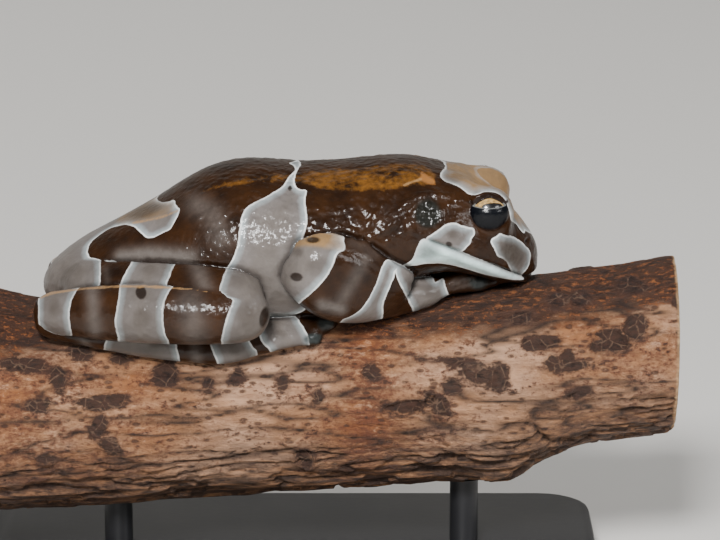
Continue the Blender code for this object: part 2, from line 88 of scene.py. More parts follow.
SKIN_GROWTH = 0.22  # over the solids, which the smoothing takes off again

# Solids that share their markings, with how much the skin over them is smoothed
BODY_GROUPS = {
    "trunk": (TRUNK_PARTS, 1.0),
    "thigh": (("thigh",), 0.7),
    "shank": (("shank",), 0.7),
    "foot": (("foot",), 0.18),
    "arm": (("upper_arm", "forearm"), 0.7),
    "hand": (("hand",), 0.18),
}
# Ridges and creases of the head, shoulder, elbow and fingers: their line in the photograph's frame of 720 by
# 540, as x, y, x, y and so on, then their half width there and their height in millimetres
SKIN_RIDGES = (
    ((464, 203, 447, 197, 430, 194, 415, 198, 404, 206, 395, 217, 388, 230), 4, 0.42), ((352, 238, 366, 226,
    378, 214, 387, 203), 3.2, 0.22), ((364, 243, 380, 232, 393, 222), 3.2, 0.22), ((386, 243, 400, 236, 410,
    226), 3, 0.2), ((346, 251, 362, 261, 379, 272), 2.4, -0.2), ((449, 177, 462, 181, 476, 182, 488, 186, 499,
    193), 2.8, -0.22), ((400, 285, 416, 284.5, 433, 283, 441, 279), 2.2, -0.2),
)


def linear(code):
    """A colour written as sRGB hex, as the linear values that Blender uses."""
    values = [int(code[i:i + 2], 16) / 255 for i in (1, 3, 5)]
    return tuple(v / 12.92 if v <= 0.04045 else ((v + 0.055) / 1.055) ** 2.4 for v in values) + (1.0,)


def node(tree, kind, inputs=None, stops=None, out=0, **settings):
    """Adds a shader node with its settings, its colour stops and its values or links, and gives its output."""
    made = tree.nodes.new("ShaderNode" + kind)
    for name, value in settings.items():
        setattr(made, name, value)
    if stops:
        ramp = made.color_ramp
        while len(ramp.elements) > 1:
            ramp.elements.remove(ramp.elements[-1])
        for i, (place, colour) in enumerate(stops):
            stop = ramp.elements[0] if i == 0 else ramp.elements.new(place)
            stop.position, stop.color = place, colour
    for name, value in (inputs or {}).items():
        if isinstance(value, bpy.types.NodeSocket):
            tree.links.new(value, made.inputs[name])
        else:
            made.inputs[name].default_value = value
    return made.outputs[out] if made.outputs else made


def coats(tree, look, at, colour, layers):
    """Lays colours over a colour: each one's value, where it starts and is thickest, and how thick that is."""
    for over, value, low, high, thickness in layers:
        over = getattr(look, over) if isinstance(over, str) else over
        share = node(tree, "MapRange", {0: at[value], 1: low, 2: high, 3: 0.0, 4: thickness})
        colour = node(tree, "Mix", {0: share, 6: colour, 7: over}, out=2, data_type="RGBA")
    return colour


def new_material(name):
    """An empty material, its node tree and its Object coordinates."""
    material = bpy.data.materials.new(name)
    material.use_nodes = True
    material.node_tree.nodes.clear()
    return material, material.node_tree, node(material.node_tree, "TexCoord", out="Object")


def finish_material(tree, **surface):
    """Ends a material in one surface shader, whose inputs are named with underscores for spaces."""
    shader = node(tree, "BsdfPrincipled", {name.replace("_", " "): value for name, value in surface.items()})
    node(tree, "OutputMaterial", {0: shader})


# Points of a mesh as numbers, in millimetres over the branch's middle line

def numbers(items, name, size=3, kind=float):
    """One property of all the items of a mesh, with a row for each item."""
    flat = np.empty(len(items) * size, kind)
    items.foreach_get(name, flat)
    return flat.reshape(-1, size)


def points_of(mesh):
    return numbers(mesh.vertices, "co") / MM - (0, 0, DATUM_HEIGHT)


def set_points(mesh, points):
    mesh.vertices.foreach_set("co", ((points + (0, 0, DATUM_HEIGHT)) * MM).ravel())
    mesh.update()


def normals_of(mesh):
    return numbers(mesh.vertex_normals, "vector")


def edges_of(mesh):
    return numbers(mesh.edges, "vertices", 2, int)


def averaged(values, edges, rounds=1, share=0.5):
    """Values at a mesh's points, eased towards those of their neighbours."""
    values = np.array(values, float)
    flat = values.reshape(len(values), -1)
    start, end = edges[:, 0], edges[:, 1]
    count = np.bincount(edges.ravel(), minlength=len(flat))
    share = np.broadcast_to(share, len(flat)) / np.maximum(count, 1)
    for _ in range(rounds):
        for column in range(flat.shape[1]):
            old = flat[:, column]
            total = np.bincount(start, old[end], len(old)) + np.bincount(end, old[start], len(old))
            flat[:, column] = old + share * (total - count * old)
    return flat.reshape(values.shape)


def fade(low, high, values):
    """0 up to low and 1 from high on, with a smooth rise between them."""
    t = np.clip((values - low) / (high - low), 0, 1)
    return t * t * (3 - 2 * t)


def bell(values, width):
    """1 at zero, and next to nothing at twice the width."""
    return np.exp(-(values / width) ** 2)


def give(mesh, **attributes):
    """Stores values at a mesh's points under their names, for its material to read."""
    for name, values in attributes.items():
        layer = mesh.attributes.get(name) or mesh.attributes.new(name, "FLOAT", "POINT")
        layer.data.foreach_set("value", values.astype(np.float32))


def read_attribute(mesh, name):
    return numbers(mesh.attributes[name].data, "value", 1, np.float32)[:, 0].astype(float)


def mesh_object(name, mesh, material=None):
    if material:
        mesh.materials.append(material)
        mesh.polygons.foreach_set("material_index", [0] * len(mesh.polygons))
    piece = bpy.data.objects.new(name, mesh)
    bpy.context.scene.collection.objects.link(piece)
    return piece


def merged_nodes(names):
    """Copies of CAD nodes in one bmesh, with their triangles joined."""
    shape = bmesh.new()
    for name in names:
        shape.from_mesh(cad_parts[name].data)
    bmesh.ops.remove_doubles(shape, verts=shape.verts, dist=1e-7)
    return shape


def mesh_of(name, shape):
    mesh = bpy.data.meshes.new(name)
    shape.to_mesh(mesh)
    shape.free()
    return mesh


def remeshed(name, shell, voxel):
    """The closed shells of a bmesh grown together into one even skin."""
    mesh = mesh_of(name + "_rough", shell)
    rough = mesh_object(name + "_rough", mesh)
    grower = rough.modifiers.new("Grow together", "REMESH")
    grower.mode = "VOXEL"
    grower.voxel_size = voxel
    grower.use_smooth_shade = True
    ready = rough.evaluated_get(bpy.context.evaluated_depsgraph_get())
    made = bpy.data.meshes.new_from_object(ready)
    made.name = name
    bpy.data.objects.remove(rough)
    bpy.data.meshes.remove(mesh)
    return made


def refine(mesh, wanted):
    """Splits the edges whose two points are both wanted."""
    shape = bmesh.new()
    shape.from_mesh(mesh)
    edges = [e for e in shape.edges if wanted[e.verts[0].index] and wanted[e.verts[1].index]]
    bmesh.ops.subdivide_edges(shape, edges=edges, cuts=1, use_grid_fill=True)
    shape.to_mesh(mesh)
    shape.free()


# The frog's skin

def flesh_mesh(grain):
    """All the solids of flesh grown into one closed skin."""
    shell = merged_nodes(FLESH + ("eye_right", "eye_left"))
    shell.normal_update()
    moves = [v.normal * SKIN_GROWTH * MM for v in shell.verts]
    for v, move in zip(shell.verts, moves):
        v.co += move
    return remeshed("skin", shell, grain)


def group_distances(points, reach=12.0):
    """How far each point lies from each group of solids on its own side, in millimetres up to a reach."""
    world = (points + (0, 0, DATUM_HEIGHT)) * MM
    table = np.full((len(points), len(BODY_GROUPS)), reach)
    for column, (parts, _) in enumerate(BODY_GROUPS.values()):
        for side in SIDES:
            solids = merged_nodes(part if parts == TRUNK_PARTS else f"{part}_{side}" for part in parts)
            tree, box = BVHTree.FromBMesh(solids), np.array([v.co for v in solids.verts])
            near = ((world > box.min(0) - reach * MM / 3) & (world < box.max(0) + reach * MM / 3)).all(1)
            chosen = np.nonzero(near & ((points[:, 1] < 0) == (side == "right")))[0]
            found = (tree.find_nearest(p, reach * MM)[3] for p in world[chosen])
            table[chosen, column] = [reach if d is None else d / MM for d in found]
            solids.free()
    return table


def beside_folds(table):
    """How much nearer each point is to its own group than to the next, which grows from zero at a fold."""
    two = np.partition(table, 1, axis=1)
    return two[:, 1] - two[:, 0]


def ease_surface(mesh, rounds=60):
    """Takes the solids' facets and the remesh's steps out of the skin, and keeps and deepens its folds."""
    points, edges = points_of(mesh), edges_of(mesh)
    table = group_distances(points)
    softness = averaged(np.array([ease for _, ease in BODY_GROUPS.values()])[table.argmin(1)], edges, 20)
    eased = averaged(points, edges, 4)
    set_points(mesh, eased)
    hollow = ((averaged(eased, edges, 14) - eased) * normals_of(mesh)).sum(1)
    fold = averaged(fade(0.03, 0.12, hollow), edges, 5)
    kept = fold * (1 - fade(0.6, 2.2, beside_folds(table)))
    smooth = averaged(eased, edges, rounds, 0.5 * softness * (1 - np.clip(1.5 * kept, 0, 0.97)))
    set_points(mesh, smooth + 0.9 * averaged(eased - smooth, edges, rounds))
    give(mesh, fold=fold)


def press_folds(mesh):
    """Presses a narrow groove into the skin where one limb lies against another or against the body, and keeps
    where it lies for the material, which paints shade along it.
    """
    points = points_of(mesh)
    fold = read_attribute(mesh, "fold")
    beside = beside_folds(group_distances(points))
    groove = fade(0.15, 0.55, fold) * bell(beside, 0.42)
    set_points(mesh, points - normals_of(mesh) * (FOLD_DEPTH * groove)[:, None])
    give(mesh, groove=groove)


# Head

def mouth_height(x):
    """Height of the line of the mouth over the datum."""
    gone = np.clip(x, MOUTH_CORNER_X, MOUTH_TIP_X) - MOUTH_CORNER_X
    return MOUTH_CORNER_Z - MOUTH_SLOPE * gone - MOUTH_BEND * gone ** 2


def from_eye(points):
    """From the eye's middle to each point of its side: offset, distance, and degrees forwards and up."""
    out = np.stack((points[:, 0], np.abs(points[:, 1]), points[:, 2]), 1) - EYE_CENTRE
    far = np.linalg.norm(out, axis=1)
    rise = np.degrees(np.arcsin(out[:, 2] / np.maximum(far, 1e-9)))
    return out, far, np.degrees(np.arctan2(out[:, 0], out[:, 1])), rise


def lid_gap(turn, rise):
    """How far a direction from the eye's middle lies inside the opening between the lids, in millimetres."""
    across = (turn - LID_OPENING_TURN) / LID_OPENING_HALF_WIDTH
    arch = np.cos(np.clip(across, -1, 1) * math.pi / 2)
    above = rise - LID_CORNER_RISE + LOWER_LID_DROP * arch
    below = LID_CORNER_RISE + UPPER_LID_RISE * arch ** 0.85 - rise
    inside = np.min((above, below, (1 - np.abs(across)) * LID_OPENING_HALF_WIDTH * 0.8), axis=0)
    return inside * math.radians(1) * 3.6


def away_from_line(places, line):
    """Distance of each place from an open line."""
    nearest, line = np.full(len(places), 1e9), np.array(line, float).reshape(-1, 2)
    for start, end in zip(line[:-1], line[1:]):
        step, gone = end - start, places - start
        along = np.clip(gone @ step / max(step @ step, 1e-9), 0, 1)
        nearest = np.minimum(nearest, ((gone - along[:, None] * step) ** 2).sum(1))
    return np.sqrt(nearest)


def refine_face(mesh):
    """Splits the skin's faces round the eyes, mouth, eardrums, nostrils and folds, where detail is finest."""
    for level in (1, 2):
        points = points_of(mesh)
        x, z = points[:, 0], points[:, 2]
        _, far, turn, rise = from_eye(points)
        wanted = (far < SOCKET_RADIUS) if level == 1 else (far < 4.9) & (lid_gap(turn, rise) > -0.9)
        if level == 1:
            wanted |= (x > 19.5) & (z > 17.5) & (np.abs(z - mouth_height(x)) < 1.5)
            wanted |= np.hypot(x - EARDRUM[0], z - EARDRUM[1]) < 3.2
            wanted |= np.hypot(x - NOSTRIL[0], z - NOSTRIL[1]) < 1.4
            wanted |= (read_attribute(mesh, "fold") > 0.3) & (beside_folds(group_distances(points)) < 0.8)
        refine(mesh, wanted)
        edges = edges_of(mesh)
        new = (np.arange(len(mesh.vertices)) >= len(points)).astype(float)
        near = averaged(new, edges, 2)
        set_points(mesh, averaged(points_of(mesh), edges, 2, 0.4 * np.clip(near * 2, 0, 1)))


def shape_face(mesh):
    """Forms the mouth, eardrums, nostrils, crown, ridges and warts of the head and shoulders."""
    points, normals = points_of(mesh), normals_of(mesh)
    x, z, places = points[:, 0], points[:, 2], seen(points)

    # A groove for the mouth, with the upper lip over it and the full lower lip under it
    face = fade(MOUTH_CORNER_X - 0.6, MOUTH_CORNER_X + 1.2, x)
    over = (z - mouth_height(x)) * 0.9
    push = face * (0.12 * bell(over - 0.8, 0.55) + 0.30 * bell(over + 0.95, 0.60) - 0.50 * bell(over, 0.26))

    drum = np.hypot(x - EARDRUM[0], z - EARDRUM[1]) / EARDRUM[2]
    push += 0.07 * bell(drum - 1.0, 0.16) - 0.10 * (1 - fade(0.45, 0.95, drum))
    nose = np.hypot(x - NOSTRIL[0], z - NOSTRIL[1]) / NOSTRIL[2]
    push += 0.06 * bell(nose - 1.3, 0.4) - 0.30 * bell(nose, 0.7)
    push += bell(x - 26.4, 2.4) * bell(np.abs(points[:, 1]) - 5.5, 4.5) * fade(0.2, 0.7, normals[:, 2])
    for line, width, rise in SKIN_RIDGES:
        push += rise * bell(away_from_line(places, line), width)

    warts = np.clip(stretched_noise(points, 1.2, 1.2, 5.3, 2), -0.25, 0.6)
    rough = 0.25 + 0.75 * fade(-14, 12, inside_by(places, WARTY))
    push += 0.16 * warts * rough * fade(4.6, 6.0, from_eye(points)[1]) * fade(1.2, 2.0, np.abs(over))
    # The mouth's line and the nostrils are kept for the material, which paints shade in them
    give(mesh, drum=1 - fade(0.75, 1.15, drum), mouth=face * bell(over, 0.24), nose=bell(nose, 0.8))
    set_points(mesh, points + normals * push[:, None])


def form_lids(mesh):
    """Draws the skin round each eye to its lids, and opens them."""
    points, edges = points_of(mesh), edges_of(mesh)
    out, far, turn, rise = from_eye(points)
    axis_turn, axis_rise = math.radians(LID_OPENING_TURN), math.radians(LID_AXIS_RISE)
    level = math.cos(axis_rise)
    axis = np.array((math.sin(axis_turn) * level, math.cos(axis_turn) * level, math.sin(axis_rise)))
    off_axis = np.degrees(np.arccos(np.clip(out @ axis / np.maximum(far, 1e-9), -1, 1)))
    gap = lid_gap(turn, rise)
    dome = LOWER_LID_RADIUS + (UPPER_LID_RADIUS - LOWER_LID_RADIUS) * fade(20, 34, rise)
    dome -= 0.45 * fade(48, 80, rise) + 0.35 * fade(30, 50, rise) * fade(0, 40, turn)
    dome = np.maximum(dome, LID_EDGE_RADIUS + 0.02)
    lids = LID_EDGE_RADIUS + (dome - LID_EDGE_RADIUS) * fade(0, 0.8, -gap)
    wanted = np.where(gap < 0, lids, LID_EDGE_RADIUS - 0.8 * fade(0, 0.2, gap))
    reach = 62 + 12 * fade(8, 30, rise)
    close = 1 - fade(5.0, SOCKET_RADIUS, far)
    hold = (1 - fade(reach - 6, reach + 14, off_axis)) * close
    ring = 0.30 * bell(off_axis - reach - 3, 6) * (1 - fade(14, 34, rise)) * close
    moved = out * ((far + (wanted - far) * hold - ring) / np.maximum(far, 1e-9))[:, None] + EYE_CENTRE
    moved[:, 1] *= np.where(points[:, 1] < 0, -1, 1)
    points = np.where((far < SOCKET_RADIUS)[:, None], moved, points)
    collar = (1 - fade(6.0, 8.0, far)) * fade(55, 68, off_axis) * (gap < -0.6)
    set_points(mesh, averaged(points, edges, 60, 0.5 * np.clip(averaged(collar, edges, 4), 0, 1)))

    below, on_lids, upper = 1 - fade(-50, -15, rise), far < 6, fade(24, 30, rise)
    give(mesh, lid=on_lids * (1 - fade(50 - 10 * below, 56 + 6 * below, off_axis)) * (1 - upper),
         lid_edge=np.where(on_lids & (rise < 32) & (off_axis < 90), -gap, 9.0),
         upper_lid=on_lids * (1 - fade(0.45, 0.75, -gap)) * upper)


# Markings of the frog's right side, read in the photograph's frame of 720 by 540. The left side mirrors them.
# Each outline or line is x, y, x, y and so on. First come the pale patches.
PATCHES = {
    "trunk": (
      (300, 165.5, 298, 170, 294.5, 177, 294, 183, 297, 188, 301, 190, 307.5, 189.5, 305.5, 196, 305, 203,
      307, 212, 307.5, 222, 305, 232, 302, 243, 296, 256, 300, 290, 312, 312, 262, 320, 228, 290, 221,
      285, 224, 271, 228, 267, 232, 260, 237, 248, 239, 232, 241, 218, 244, 210, 250, 204, 262, 199, 276,
      191, 282, 187, 286, 181, 290, 175, 296, 169, 292, 164.5, 286, 162, 285, 158, 293, 160, 302, 164),
      (131, 224, 118, 225.5, 108, 229, 98, 236, 91, 242, 87.5, 249, 88.5, 256, 95, 260.5, 108, 259.5, 121,
      262, 121, 310, 10, 310, 10, 200, 150, 180, 157, 199, 160, 202, 170, 202, 175, 199, 176, 207, 181,
      209, 176, 220, 170, 230, 163, 233, 153, 238, 147, 238.5, 143, 235),
      (425, 238, 432.4, 233.8, 439.8, 228.7, 446.3, 224, 452, 222.7, 457.4, 223.1, 463, 225.5, 468.5,
      227.3, 473.1, 227.3, 475.2, 230.6, 474.5, 235.2, 471.3, 238.9, 470.8, 243.5, 466.7, 246.3, 463.9,
      251, 456, 254, 440, 250, 426, 245),
      (500, 232.4, 498, 235.2, 492.6, 238, 490.3, 241.2, 492.6, 246.3, 495.4, 251.9, 498.1, 256.9, 503,
      258.5, 507, 263, 510, 269, 514, 276, 521, 276, 525, 271.3, 528.7, 266.7, 530.1, 260.2, 531, 254.6,
      529.6, 250, 525, 245.4, 519.4, 239.8, 512, 236.1, 503.7, 235.2),
      (389, 258.5, 397, 263, 407, 267.5, 397, 273, 393, 277, 379, 277, 384, 268),),
    "thigh": (
      (10, 250, 100, 250, 101, 262, 100, 283, 100, 400, 10, 400),
      (137, 250, 131, 263, 124, 275, 121, 282, 115, 300, 115, 400, 162, 400, 162, 300, 168, 282, 171, 273,
      175, 265, 182, 250),
      (230, 250, 226, 268, 222, 280, 219, 290, 214, 310, 214, 400, 330, 400, 330, 250),),
    "shank": (
      (38, 292, 38, 250, 89, 250, 88, 270, 84, 283, 76, 291, 71, 302, 69, 315, 70, 327, 73, 335, 73, 380,
      44, 380, 38, 330),
      (122, 270, 120, 283, 118, 300, 115, 315, 115, 328, 118, 336, 120, 380, 172, 380, 170, 343, 165, 334,
      163, 322, 163, 310, 165, 300, 170, 290, 178, 282, 184, 270),
      (240, 285, 234, 297, 230, 308, 226, 318, 223, 330, 221, 345, 221, 390, 330, 390, 330, 285),),
    "foot": (
      (104, 320, 103, 390, 183, 390, 180, 360, 176, 344, 173, 320),
      (206, 330, 209, 344, 213, 352, 217, 362, 220, 390, 262, 390, 258, 352, 254, 348, 250, 342, 247, 335,
      244, 320),
      (255, 322, 258, 331, 260, 338, 263, 344, 269, 349, 275, 360, 312, 360, 309, 336, 303, 327, 298, 318,
      294, 305, 262, 305),),
    "arm": (
      (343, 220, 343.5, 240, 346, 251, 338, 252, 336, 258, 333, 266, 328, 276, 320, 285, 312, 293, 305,
      298, 300, 303, 270, 330, 250, 220),
      (395, 270, 394, 277, 391, 285, 387, 294, 382, 306, 384, 312, 382, 320, 376, 340, 330, 340, 340, 320,
      350, 317, 361, 310, 370, 297, 377, 282, 379, 274, 384, 262, 389, 258.5, 397, 263, 407, 267),
      (396, 262, 395, 272, 398, 281, 402, 289, 408, 300, 413, 311, 416, 330, 450, 330, 450, 258, 410,
      258),),
    "hand": (
      (388, 268, 396, 262, 410, 258, 424, 263, 430, 270, 434, 278, 435, 283, 441, 279, 444, 277, 445, 285,
      447, 291, 452, 298, 452, 330, 416, 330, 413, 311, 408, 300, 402, 289, 396, 280),),
}
HEAD_BAND = (
    447.2, 163.9, 443.5, 169.4, 439.8, 174, 439.8, 177.3, 444.4, 181.5, 451.9, 183.8, 459.3, 187, 464.8, 191.2,
    468.1, 194.9, 473.1, 195.4, 479.6, 194, 483.3, 192.1, 488.9, 191.7, 494.4, 192.1, 500, 194.4, 503.7, 198.1,
    506.5, 202.8, 508.8, 209.3, 510.2, 214.8, 510.6, 220.4, 514.8, 223.1, 520.4, 226.9, 526.9, 231.5, 532.4,
    234.3, 535.5, 239, 545, 240, 560, 200, 520, 140, 450, 140
)
JAW = (
    425, 238, 420.4, 240.3, 417.6, 245.4, 416.2, 250, 414.4, 256.5, 409, 262, 402, 265.5, 412, 266, 424, 264,
    437, 263, 450, 264.5, 465, 268.5, 482, 274, 500, 278, 515, 280.5, 526, 279.5, 519.4, 275.3, 505, 269, 490,
    263, 475, 257, 463, 252, 449, 247.6, 440, 244.2
)
ELBOW_TAN = (284, 252, 300, 246, 318, 247, 330, 250, 348, 251, 348, 215, 284, 215)
RUMP_TAN = (118, 226, 134, 222, 150, 218, 170, 212, 176, 204, 157, 190, 110, 205)
BACK_OCHRE = (
    196, 193, 210, 186, 225, 182, 240, 178, 262, 174, 290, 172, 305, 173, 322, 170, 345, 168, 370, 166, 400,
    163, 425, 164, 438, 174, 433, 184, 410, 188, 380, 190, 350, 192, 330, 191, 310, 187, 290, 182, 262, 182,
    240, 184, 225, 188, 210, 192
)
OCHRE_FLECK = (422.2, 167.5, 424, 173, 431.5, 177.8, 437, 183, 430.6, 184, 422.2, 181.5, 419, 178)
WARTY = (
    185, 190, 235, 165, 430, 158, 470, 190, 470, 222, 425, 236, 398, 250, 350, 243, 300, 233, 240, 236, 190, 225
)
# Thin light lines on the skin; the one along each shank's top edge is partly its tan and partly a painted
# highlight
LIGHT_LINES_AND_RIM_HIGHLIGHT = {
    "trunk": ((404, 185, 412, 182, 421, 179), (133, 223, 150, 220, 165, 216, 178, 211)),
    "shank": ((40, 298, 50, 293, 66, 291, 90, 288, 120, 286.5, 150, 286.5, 200, 289, 232, 296),),
}
# Greyer middles of the dark bands, partly the skin's own grey and partly painted sheen: the flank's and the
# forearm's streaks are painted reflections, and the spot under the forearm is a painted highlight. Each has its
# line, half width and strength
GREY_MIDDLES_AND_SHEEN = {
    "trunk": (((122, 257, 150, 254, 190, 258), 8, 1), ((196, 205, 212, 214, 221, 238), 12, 0.5)),
    "thigh": (((196, 262, 204, 288), 9, 0.55), ((106, 270, 108, 290), 4, 0.3)),
    "shank": (((92, 285, 95, 335), 7.5, 0.55), ((190, 300, 196, 350), 13, 0.5)),
    "foot": (((84, 335, 86, 350), 7, 0.5), ((195, 345, 197, 362), 6, 0.6)),
    "arm": (((366, 258, 353, 282, 338, 306), 6.5, 0.5), ((352, 243, 376, 254), 6, 0.25), ((322, 306,
        341, 309), 6, 1)),
    "hand": (((455, 284, 470, 282), 5, 0.3),),
}
# Adhesive discs on the tips of toes and fingers: where, and half their width and height
DISCS = {
    "foot": ((326, 322, 9, 9), (314, 339, 11, 6)),
    "hand": ((478, 278, 10, 12),),
}
# Dark spots within the pale patches: where they are, half their width and height, and their lean in degrees
SPOTS = {
    "trunk": ((290, 188, 2.4, 2.8, 0), (449, 244.2, 3.4, 2.6, 20)),
    "shank": ((141, 292.5, 5.4, 7, -10), (264, 317, 4.4, 10.5, 12)),
    "arm": ((313, 240, 7, 3.2, 0), (296.5, 277, 6.6, 4.4, 10)),
}
# Soft darker clouds within the pale patches: the same, with their strength
CLOUDS = {
    "trunk": ((453, 234, 7, 5, -20, 0.6), (428, 252, 12, 8.5, -10, 0.55), (511, 254, 16, 19, -25, 0.95),
        (451, 177, 13, 12, 20, 0.5), (145, 211, 30, 9, -17, 0.85)),
    "shank": ((142, 318, 15, 14, 0, 0.62), (246, 316, 13, 22, 0, 0.58), (55, 308, 10, 15, 0, 0.6)),
    "thigh": ((150, 270, 13, 8, 0, 0.5), (238, 282, 13, 12, 0, 0.5), (75, 270, 14, 10, 0, 0.5)),
    "foot": ((140, 351, 22, 4, 0, 0.4), (235, 351, 10, 6, 0, 0.65), (280, 335, 12, 8, 0, 0.55)),
    "arm": ((298, 252, 6.5, 5.5, 0, 0.55), (318, 266, 14, 12, 0, 0.4), (375, 300, 6, 12, 20, 0.3)),
    "hand": ((414, 274, 11, 7, 0, 0.65), (430, 292, 16, 9, 0, 0.65)),
}
LIMB_CLOUD = 0.3  # strength all over the patches of legs, feet and hands
FAR_OUT = 60.0  # pixels outside an outline
MARK_REACH = 30.0  # pixels from an outline, past which its distance isn't kept
BAND_HALF_WIDTH, BAND_FRONT = 4.6, 36.0  # of the head's band between the eyes, in millimetres
CROWN_REAR, CROWN_BOTTOM = 24.0, 25.0  # bounds of the crown, in millimetres along X and over the datum
BELLY_TOP = 13.0  # millimetres over the datum, below which the trunk is pale


def rounded(outline, rounds=2):
    """A closed outline with its corners cut."""
    line = np.array(outline, float).reshape(-1, 2)
    for _ in range(rounds):
        after = np.roll(line, -1, axis=0)
        line = np.stack((0.75 * line + 0.25 * after, 0.25 * line + 0.75 * after), 1).reshape(-1, 2)
    return line


def view_axes():
    """The camera's directions away from it and up."""
    rise = math.radians(VIEW_HEIGHT_ANGLE)
    return np.array((0, math.cos(rise), -math.sin(rise))), np.array((0, math.sin(rise), math.cos(rise)))


def seen(points):
    """Where the photograph's frame shows each point of the right side, and each of the left side mirrored."""
    away, upwards = view_axes()
    eye = np.array(VIEW_TARGET) - VIEW_DISTANCE * away
    near = np.stack((points[:, 0], -np.abs(points[:, 1]), points[:, 2] + DATUM_HEIGHT), 1) - eye
    scale = FRAME_SIZE[0] * VIEW_DISTANCE / VIEW_WIDTH / (near @ away)
    return np.stack((FRAME_SIZE[0] / 2 + scale * near[:, 0], FRAME_SIZE[1] / 2 - scale * (near @ upwards)), 1)


def inside_by(places, outline):
    """How far each place lies inside a closed outline, negative outside it."""
    line, inside = rounded(outline), np.zeros(len(places), bool)
    for start, end in zip(line, np.roll(line, -1, axis=0)):
        if start[1] != end[1]:
            spans = (start[1] > places[:, 1]) != (end[1] > places[:, 1])
            slope = (end[0] - start[0]) / (end[1] - start[1])
            inside ^= spans & (places[:, 0] < start[0] + slope * (places[:, 1] - start[1]))
    return away_from_line(places, np.vstack((line, line[:1]))) * np.where(inside, 1, -1)


def surface_distance(values, points, edges):
    """Turns distances in the frame into millimetres along the skin, however steeply the skin is seen."""
    lengths = np.linalg.norm(points[edges[:, 0]] - points[edges[:, 1]], axis=1)
    slopes = (values[edges[:, 0]] - values[edges[:, 1]]) ** 2 / np.maximum(lengths, 1e-6) ** 2
    count = np.bincount(edges.ravel(), minlength=len(values))
    total = np.bincount(edges[:, 0], slopes, len(values)) + np.bincount(edges[:, 1], slopes, len(values))
    steep = np.sqrt(2 * averaged(total / np.maximum(count, 1), edges, 3))
    return values / np.clip(steep, 1.3, 7.0)


def oval(places, x, y, wide, high, lean=0.0):
    """Distance of each place from an oval's middle, which is 1 on its outline."""
    along, across = math.cos(math.radians(lean)), math.sin(math.radians(lean))
    dx, dy = places[:, 0] - x, places[:, 1] - y
    return np.hypot((dx * along + dy * across) / wide, (dy * along - dx * across) / high)


def pattern_of(group, places):
    """A group's markings: how far inside its patches, spots and lines in pixels, then its soft shades, among
    them painted sheen in the dark bands.
    """
    patch, spot, line, cloud, bloom, disc = made = np.full((6, len(places)), -MARK_REACH)
    made[3:] = 0
    cloud[:] = LIMB_CLOUD * (group not in ("trunk", "arm"))
    for outline in PATCHES[group]:
        np.maximum(patch, inside_by(places, outline), out=patch)
    for *where, lean in SPOTS.get(group, ()):
        np.maximum(spot, (1 - oval(places, *where, lean)) * min(where[2:]), out=spot)
    for path in LIGHT_LINES_AND_RIM_HIGHLIGHT.get(group, ()):
        np.maximum(line, -away_from_line(places, path), out=line)
    for *where, dark in CLOUDS.get(group, ()):
        np.maximum(cloud, dark * (1 - fade(0.3, 1.3, oval(places, *where))), out=cloud)
    for path, width, strength in GREY_MIDDLES_AND_SHEEN.get(group, ()):
        np.maximum(bloom, strength * bell(away_from_line(places, path), width), out=bloom)
    for where in DISCS.get(group, ()):
        np.maximum(disc, 1 - fade(0.7, 1.2, oval(places, *where)), out=disc)
    return np.clip(made, -MARK_REACH, MARK_REACH)


def paint(mesh):
    """Gives the skin its markings as attributes."""
    points, edges, normals = points_of(mesh), edges_of(mesh), normals_of(mesh)
    places, table = seen(points), group_distances(points)
    order = np.argsort(table, axis=1)
    share = 0.5 + 0.5 * fade(0, 0.35, beside_folds(table))
    marks = np.zeros((6, len(points)))
    for column, group in enumerate(BODY_GROUPS):
        weight = (order[:, 0] == column) * share + (order[:, 1] == column) * (1 - share)
        chosen = weight > 0
        marks[:, chosen] += weight[chosen] * pattern_of(group, places[chosen])
    trunk, arm = (order[:, 0] == list(BODY_GROUPS).index(group) for group in ("trunk", "arm"))

    def inside_on(chosen, outline):
        depth = np.full(len(points), -FAR_OUT)
        depth[chosen] = inside_by(places[chosen], outline)
        return depth

    # The head's band goes on over the side of the crown that the photograph doesn't show, and between the eyes
    band, elbow = inside_on(trunk, HEAD_BAND), inside_on(arm, ELBOW_TAN)
    jaw, warty, back, rump, fleck = (
        inside_on(trunk, outline) for outline in (JAW, WARTY, BACK_OCHRE, RUMP_TAN, OCHRE_FLECK))
    faced = normals.copy()
    faced[:, 1] *= np.where(points[:, 1] < 0, 1, -1)
    hidden = averaged((faced @ view_axes()[0] > 0).astype(float), edges, 3)
    between = np.minimum(BAND_HALF_WIDTH - np.abs(points[:, 1]), (normals[:, 2] - 0.45) * 9)
    between = averaged(np.clip(np.minimum(between, BAND_FRONT - points[:, 0]), -4, 4), edges, 16) * PIXELS_PER_MM
    crown = trunk & (points[:, 0] > CROWN_REAR) & (points[:, 2] > CROWN_BOTTOM)
    over_crown = np.maximum(1.5 * FAR_OUT * hidden - FAR_OUT, between)
    band = np.where(crown, np.maximum(band, over_crown), band)
    belly = np.where(trunk, (BELLY_TOP - points[:, 2]) * PIXELS_PER_MM, -FAR_OUT)
    patch = np.max((marks[0], band, jaw, belly), axis=0)
    by_eye = fade(3.9, 5.2, from_eye(points)[1])
    give(mesh, patch=surface_distance(patch, points, edges), spot=marks[1] / PIXELS_PER_MM,
         line=marks[2] / PIXELS_PER_MM, cloud=marks[3], bloom=marks[4], disc=marks[5],
         tan=np.max((fade(-2, 10, band), fade(-4, 5, rump), fade(-1.5, 3, elbow)), axis=0),
         jaw=fade(-2, 1.5, jaw), ochre=fade(-8, 4, back), fleck=fleck / PIXELS_PER_MM,
         warty=(0.36 + 0.64 * fade(-14, 12, averaged(warty, edges, 4))) * (0.2 + 0.8 * by_eye))


